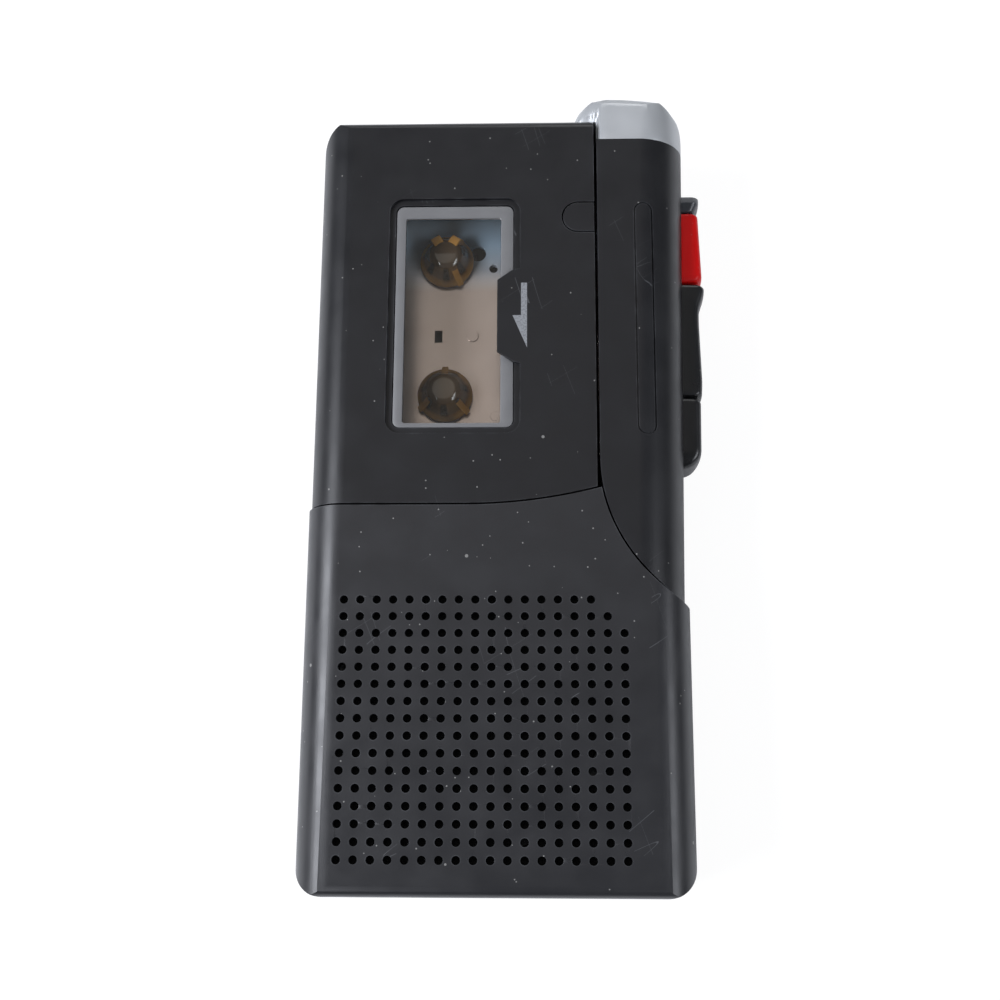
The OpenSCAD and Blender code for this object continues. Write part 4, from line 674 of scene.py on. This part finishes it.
# %% Spindles
BELL_MM = np.array([
    (0.02, 13.9), (1.6, 13.9), (1.7, 13.8), (1.7, 11.5), (4.5, 11.5), (4.68, 11.58), (4.75, 11.8),
    (4.75, 12.2), (4.6, 12.45), (4.2, 12.75), (3.75, 13.3), (3.4, 13.9), (3.15, 14.5), (2.98, 15.0),
    (2.9, 15.3), (2.8, 15.48), (2.6, 15.62), (2.35, 15.77), (2.1, 15.92), (1.95, 15.98), (1.8, 16.0),
    (0.02, 16.0)])
FIN_MM = {
    "low": np.array([(2.0, 12.0), (4.6, 12.0), (5.2, 12.15), (4.7, 12.75), (4.0, 13.2),
                     (3.4, 14.2), (2.9, 14.9), (2.0, 15.2)]),
    "tall": np.array([(2.0, 12.0), (4.3, 12.0), (4.5, 12.4), (4.4, 13.6), (4.1, 14.9),
                      (3.6, 15.7), (3.0, 15.9), (2.0, 15.9)]),
}
FIN_HALF_MM = {"low": 0.55, "tall": 0.9}
FIN_EDGE_MM = 0.13
FIN_EDGE_SHARE = 0.9
FINS = {
    "takeup": ((90, "low"), (210, "low"), (322, "low")),
    "supply": ((58, "tall"), (122, "tall"), (300, "low")),
}
AROUND = 64

for reel, middle_y in REEL_Y.items():
    turn = np.linspace(0, 2 * np.pi, AROUND, endpoint=False)
    r = BELL_MM[:, :1]
    z = np.broadcast_to(BELL_MM[:, 1:], (len(BELL_MM), AROUND))
    bell_rows = np.stack([SPINDLE_X + r * np.cos(turn), middle_y + r * np.sin(turn), z], -1)
    finish = amber if reel == "takeup" else amber_supply
    bell = skin(reel + "_bell", bell_rows, finish, reel)
    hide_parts(reel + "_spindle")
    for number, (degrees, form) in enumerate(FINS[reel]):
        cosine = np.cos(np.radians(degrees))
        sine = np.sin(np.radians(degrees))
        outline = FIN_MM[form]
        centre = outline.mean(0)
        rows = []
        half = FIN_HALF_MM[form]
        flat = half - FIN_EDGE_MM
        for aside, share in ((-half, FIN_EDGE_SHARE), (-flat, 1.0), (flat, 1.0), (half, FIN_EDGE_SHARE)):
            out, up = (centre + (outline - centre) * share).T
            x = SPINDLE_X + out * cosine - aside * sine
            y = middle_y + out * sine + aside * cosine
            rows.append(np.stack([x, y, up], -1))
        skin(f"{reel}_fin_{number + 1}", np.stack(rows), amber_thin_glow, reel)
print("spindles: two bells of", len(bell.data.polygons), "faces and six fins")

# %% [markdown]
# The keys stand out of the column's side. Each cap is a loft along the recorder: a rounded section whose
# outer face follows a profile, with both ends drawn in by quarter circles. Behind the column's wall a
# flange keeps the key in, and a flat stem carries the push to the works.

# %% Keys
KEY_Z = (7.5, 16.5)
STATIONS = 57
CORNER_MM = 1.1
CROWN_MM = 0.18
END_SHARE = 0.4
EDGE_MM = 0.1


def drawn_in(y, radii):
    """How far a rounded end draws the section in: r - sqrt(r^2 - (r - d)^2) at a distance d from an
    end."""
    low, high = radii
    reach_low = np.clip(low - (y - y[0]), 0, low)
    reach_high = np.clip(high - (y[-1] - y), 0, high)
    return low - np.sqrt(low ** 2 - reach_low ** 2) + high - np.sqrt(high ** 2 - reach_high ** 2)


def key_cap(y_range, profile, end_radii, inner_x, fall):
    """Rows of one section each, from the low end of the key to its high end. The outer face is the
    profile, read by straight steps and smoothed over a few stations, with a slight crown across it. The
    front face can be a roof that falls from the middle to both ends."""
    along = (1 - np.cos(np.linspace(0, np.pi, STATIONS))) / 2
    y = y_range[0] + (y_range[1] - y_range[0]) * along
    knots = np.array(profile)
    reach = np.interp(y - y[0], knots[:, 0], knots[:, 1])
    padded = np.concatenate([reach[:1].repeat(2), reach, reach[-1:].repeat(2)])
    reach = np.convolve(padded, np.ones(5) / 5, "valid")
    pull = drawn_in(y, end_radii)
    outer = (reach - pull)[:, None]
    roof = np.interp(y, [y[0], y.mean(), y[-1]], [fall[0], 0, fall[1]])
    low = (KEY_Z[0] + END_SHARE * pull)[:, None]
    high = (KEY_Z[1] - END_SHARE * pull - roof)[:, None]
    corner = CORNER_MM
    quarter = np.linspace(0, np.pi / 2, 6)
    face = np.linspace(0, 1, 7)[1:-1]
    x_low = outer - corner + corner * np.sin(quarter)
    z_low = low + corner - corner * np.cos(quarter)
    x_face = outer + CROWN_MM * 4 * face * (1 - face)
    z_face = low + corner + (high - low - 2 * corner) * face
    x_high = outer - corner + corner * np.cos(quarter)
    z_high = high - corner + corner * np.sin(quarter)
    inner = np.full_like(outer, inner_x)
    x = np.concatenate([inner, x_low, x_face, x_high, inner], 1)
    z = np.concatenate([low, z_low, z_face, z_high, high], 1)
    return np.stack([x, np.broadcast_to(y[:, None], x.shape), z], -1)


def slab(lo, hi):
    """Rows of a plain block with edges drawn in by a tenth of a millimetre at its two ends."""
    rows = []
    low, high = lo[1], hi[1]
    for y, small in ((low, EDGE_MM), (low + EDGE_MM, 0.0), (high - EDGE_MM, 0.0), (high, EDGE_MM)):
        x0, x1, z0, z1 = lo[0] + small, hi[0] - small, lo[2] + small, hi[2] - small
        rows.append([(x0, y, z0), (x1, y, z0), (x1, y, z1), (x0, y, z1)])
    return np.array(rows)


CAP_INNER_X = 29.3
STEM_Z0 = 11.4
FLANGE_Z = (STEM_Z0, 17.4)
STEM_TOP = STEM_Z0 + 1.5
STEM_HALF = 2.5
FLANGE_MM = 1.0
FLANGE_INSET_MM = 0.5
STEM_LAP_MM = 0.2
COLUMN_FOOT_MM = (30.2, -30.7)
COLUMN_LEAN = math.radians(1)
WALL_MM = 1.9
STEM_END_MM = {"stop_key": 20.91, "play_key": 18.61, "record_key": 20.91}
# Body, finish, slot, outer profile as (distance from the low end, x), end radii, fall of the face to the ends
KEYS = {
    "stop_key": ("stop", key_abs, "key_black", [(0, 33.95), (12, 34.15)], (3.2, 0.9), (0, 0)),
    "play_key": ("play", key_abs, "key_black",
                 [(0, 34.35), (2.6, 34.5), (13.1, 34.2), (15.7, 34.25), (17.7, 34.9), (18.7, 35.25),
                  (20, 35.2)],
                 (0.6, 0.8), (0, 0)),
    "record_key": ("record", red_abs, "key_red", [(0, 34.95), (12.7, 34.5)], (1.3, 0.6), (0, 0)),
    "pause_slider": ("pause", grey_abs, "key_grey",
                     [(0, 33.9), (2.0, 34.75), (3.2, 34.85)], (0.3, 0.5), (0.5, 1.1)),
}
for name, (body, finish, slot, profile, radii, fall) in KEYS.items():
    lo, hi = (np.array(corner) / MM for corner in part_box(name))
    ends = (lo[1], hi[1])
    wall_x = COLUMN_FOOT_MM[0] + (lo[1] - COLUMN_FOOT_MM[1]) * math.tan(COLUMN_LEAN) - WALL_MM
    cap = skin(name + "_cap", key_cap(ends, profile, radii, CAP_INNER_X, fall), finish, body)
    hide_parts(name)
    flange_lo = (wall_x - FLANGE_MM, ends[0] + FLANGE_INSET_MM, FLANGE_Z[0])
    flange_hi = (wall_x, ends[1] - FLANGE_INSET_MM, FLANGE_Z[1])
    skin(name + "_flange", slab(flange_lo, flange_hi), finish, body)
    if name in STEM_END_MM:
        middle = sum(ends) / 2
        stem_lo = (STEM_END_MM[name], middle - STEM_HALF, STEM_Z0)
        stem = slab(stem_lo, (CAP_INNER_X + STEM_LAP_MM, middle + STEM_HALF, STEM_TOP))
        skin(name + "_stem", stem, finish, body)
print("keys:", ", ".join(KEYS))

# %% [markdown]
# Behind each key a coil spring stands between the bracket and the key's flange. It is a tube along a helix.

# %% Key springs
TURNS = 4
COIL_MM = 1.1
WIRE_MM = 0.22


def coil_tube(lo, hi):
    """Rings of wire round a helix: at each step the ring lies across the helix, which climbs along X
    inside the box."""
    turn = np.linspace(0, 2 * np.pi * TURNS, 16 * TURNS + 1)[:, None]
    around = np.linspace(0, 2 * np.pi, 8, endpoint=False)[None]
    length = hi[0] - lo[0] - 2 * WIRE_MM
    climb = math.atan2(length, 2 * math.pi * COIL_MM * TURNS)
    out = COIL_MM + WIRE_MM * np.cos(around)
    lean = WIRE_MM * np.sin(around)
    x = lo[0] + WIRE_MM + length * turn / turn[-1] + lean * math.cos(climb)
    y = (lo[1] + hi[1]) / 2 + out * np.cos(turn) + lean * math.sin(climb) * np.sin(turn)
    z = (lo[2] + hi[2]) / 2 + out * np.sin(turn) - lean * math.sin(climb) * np.cos(turn)
    return np.stack([x, y, z], -1)


for body in ("stop", "play", "record"):
    lo, hi = (np.array(corner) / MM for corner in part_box(body + "_spring"))
    spring = skin(body + "_coil", coil_tube(lo, hi), steel, "case")
    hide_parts(body + "_spring")
    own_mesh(spring)
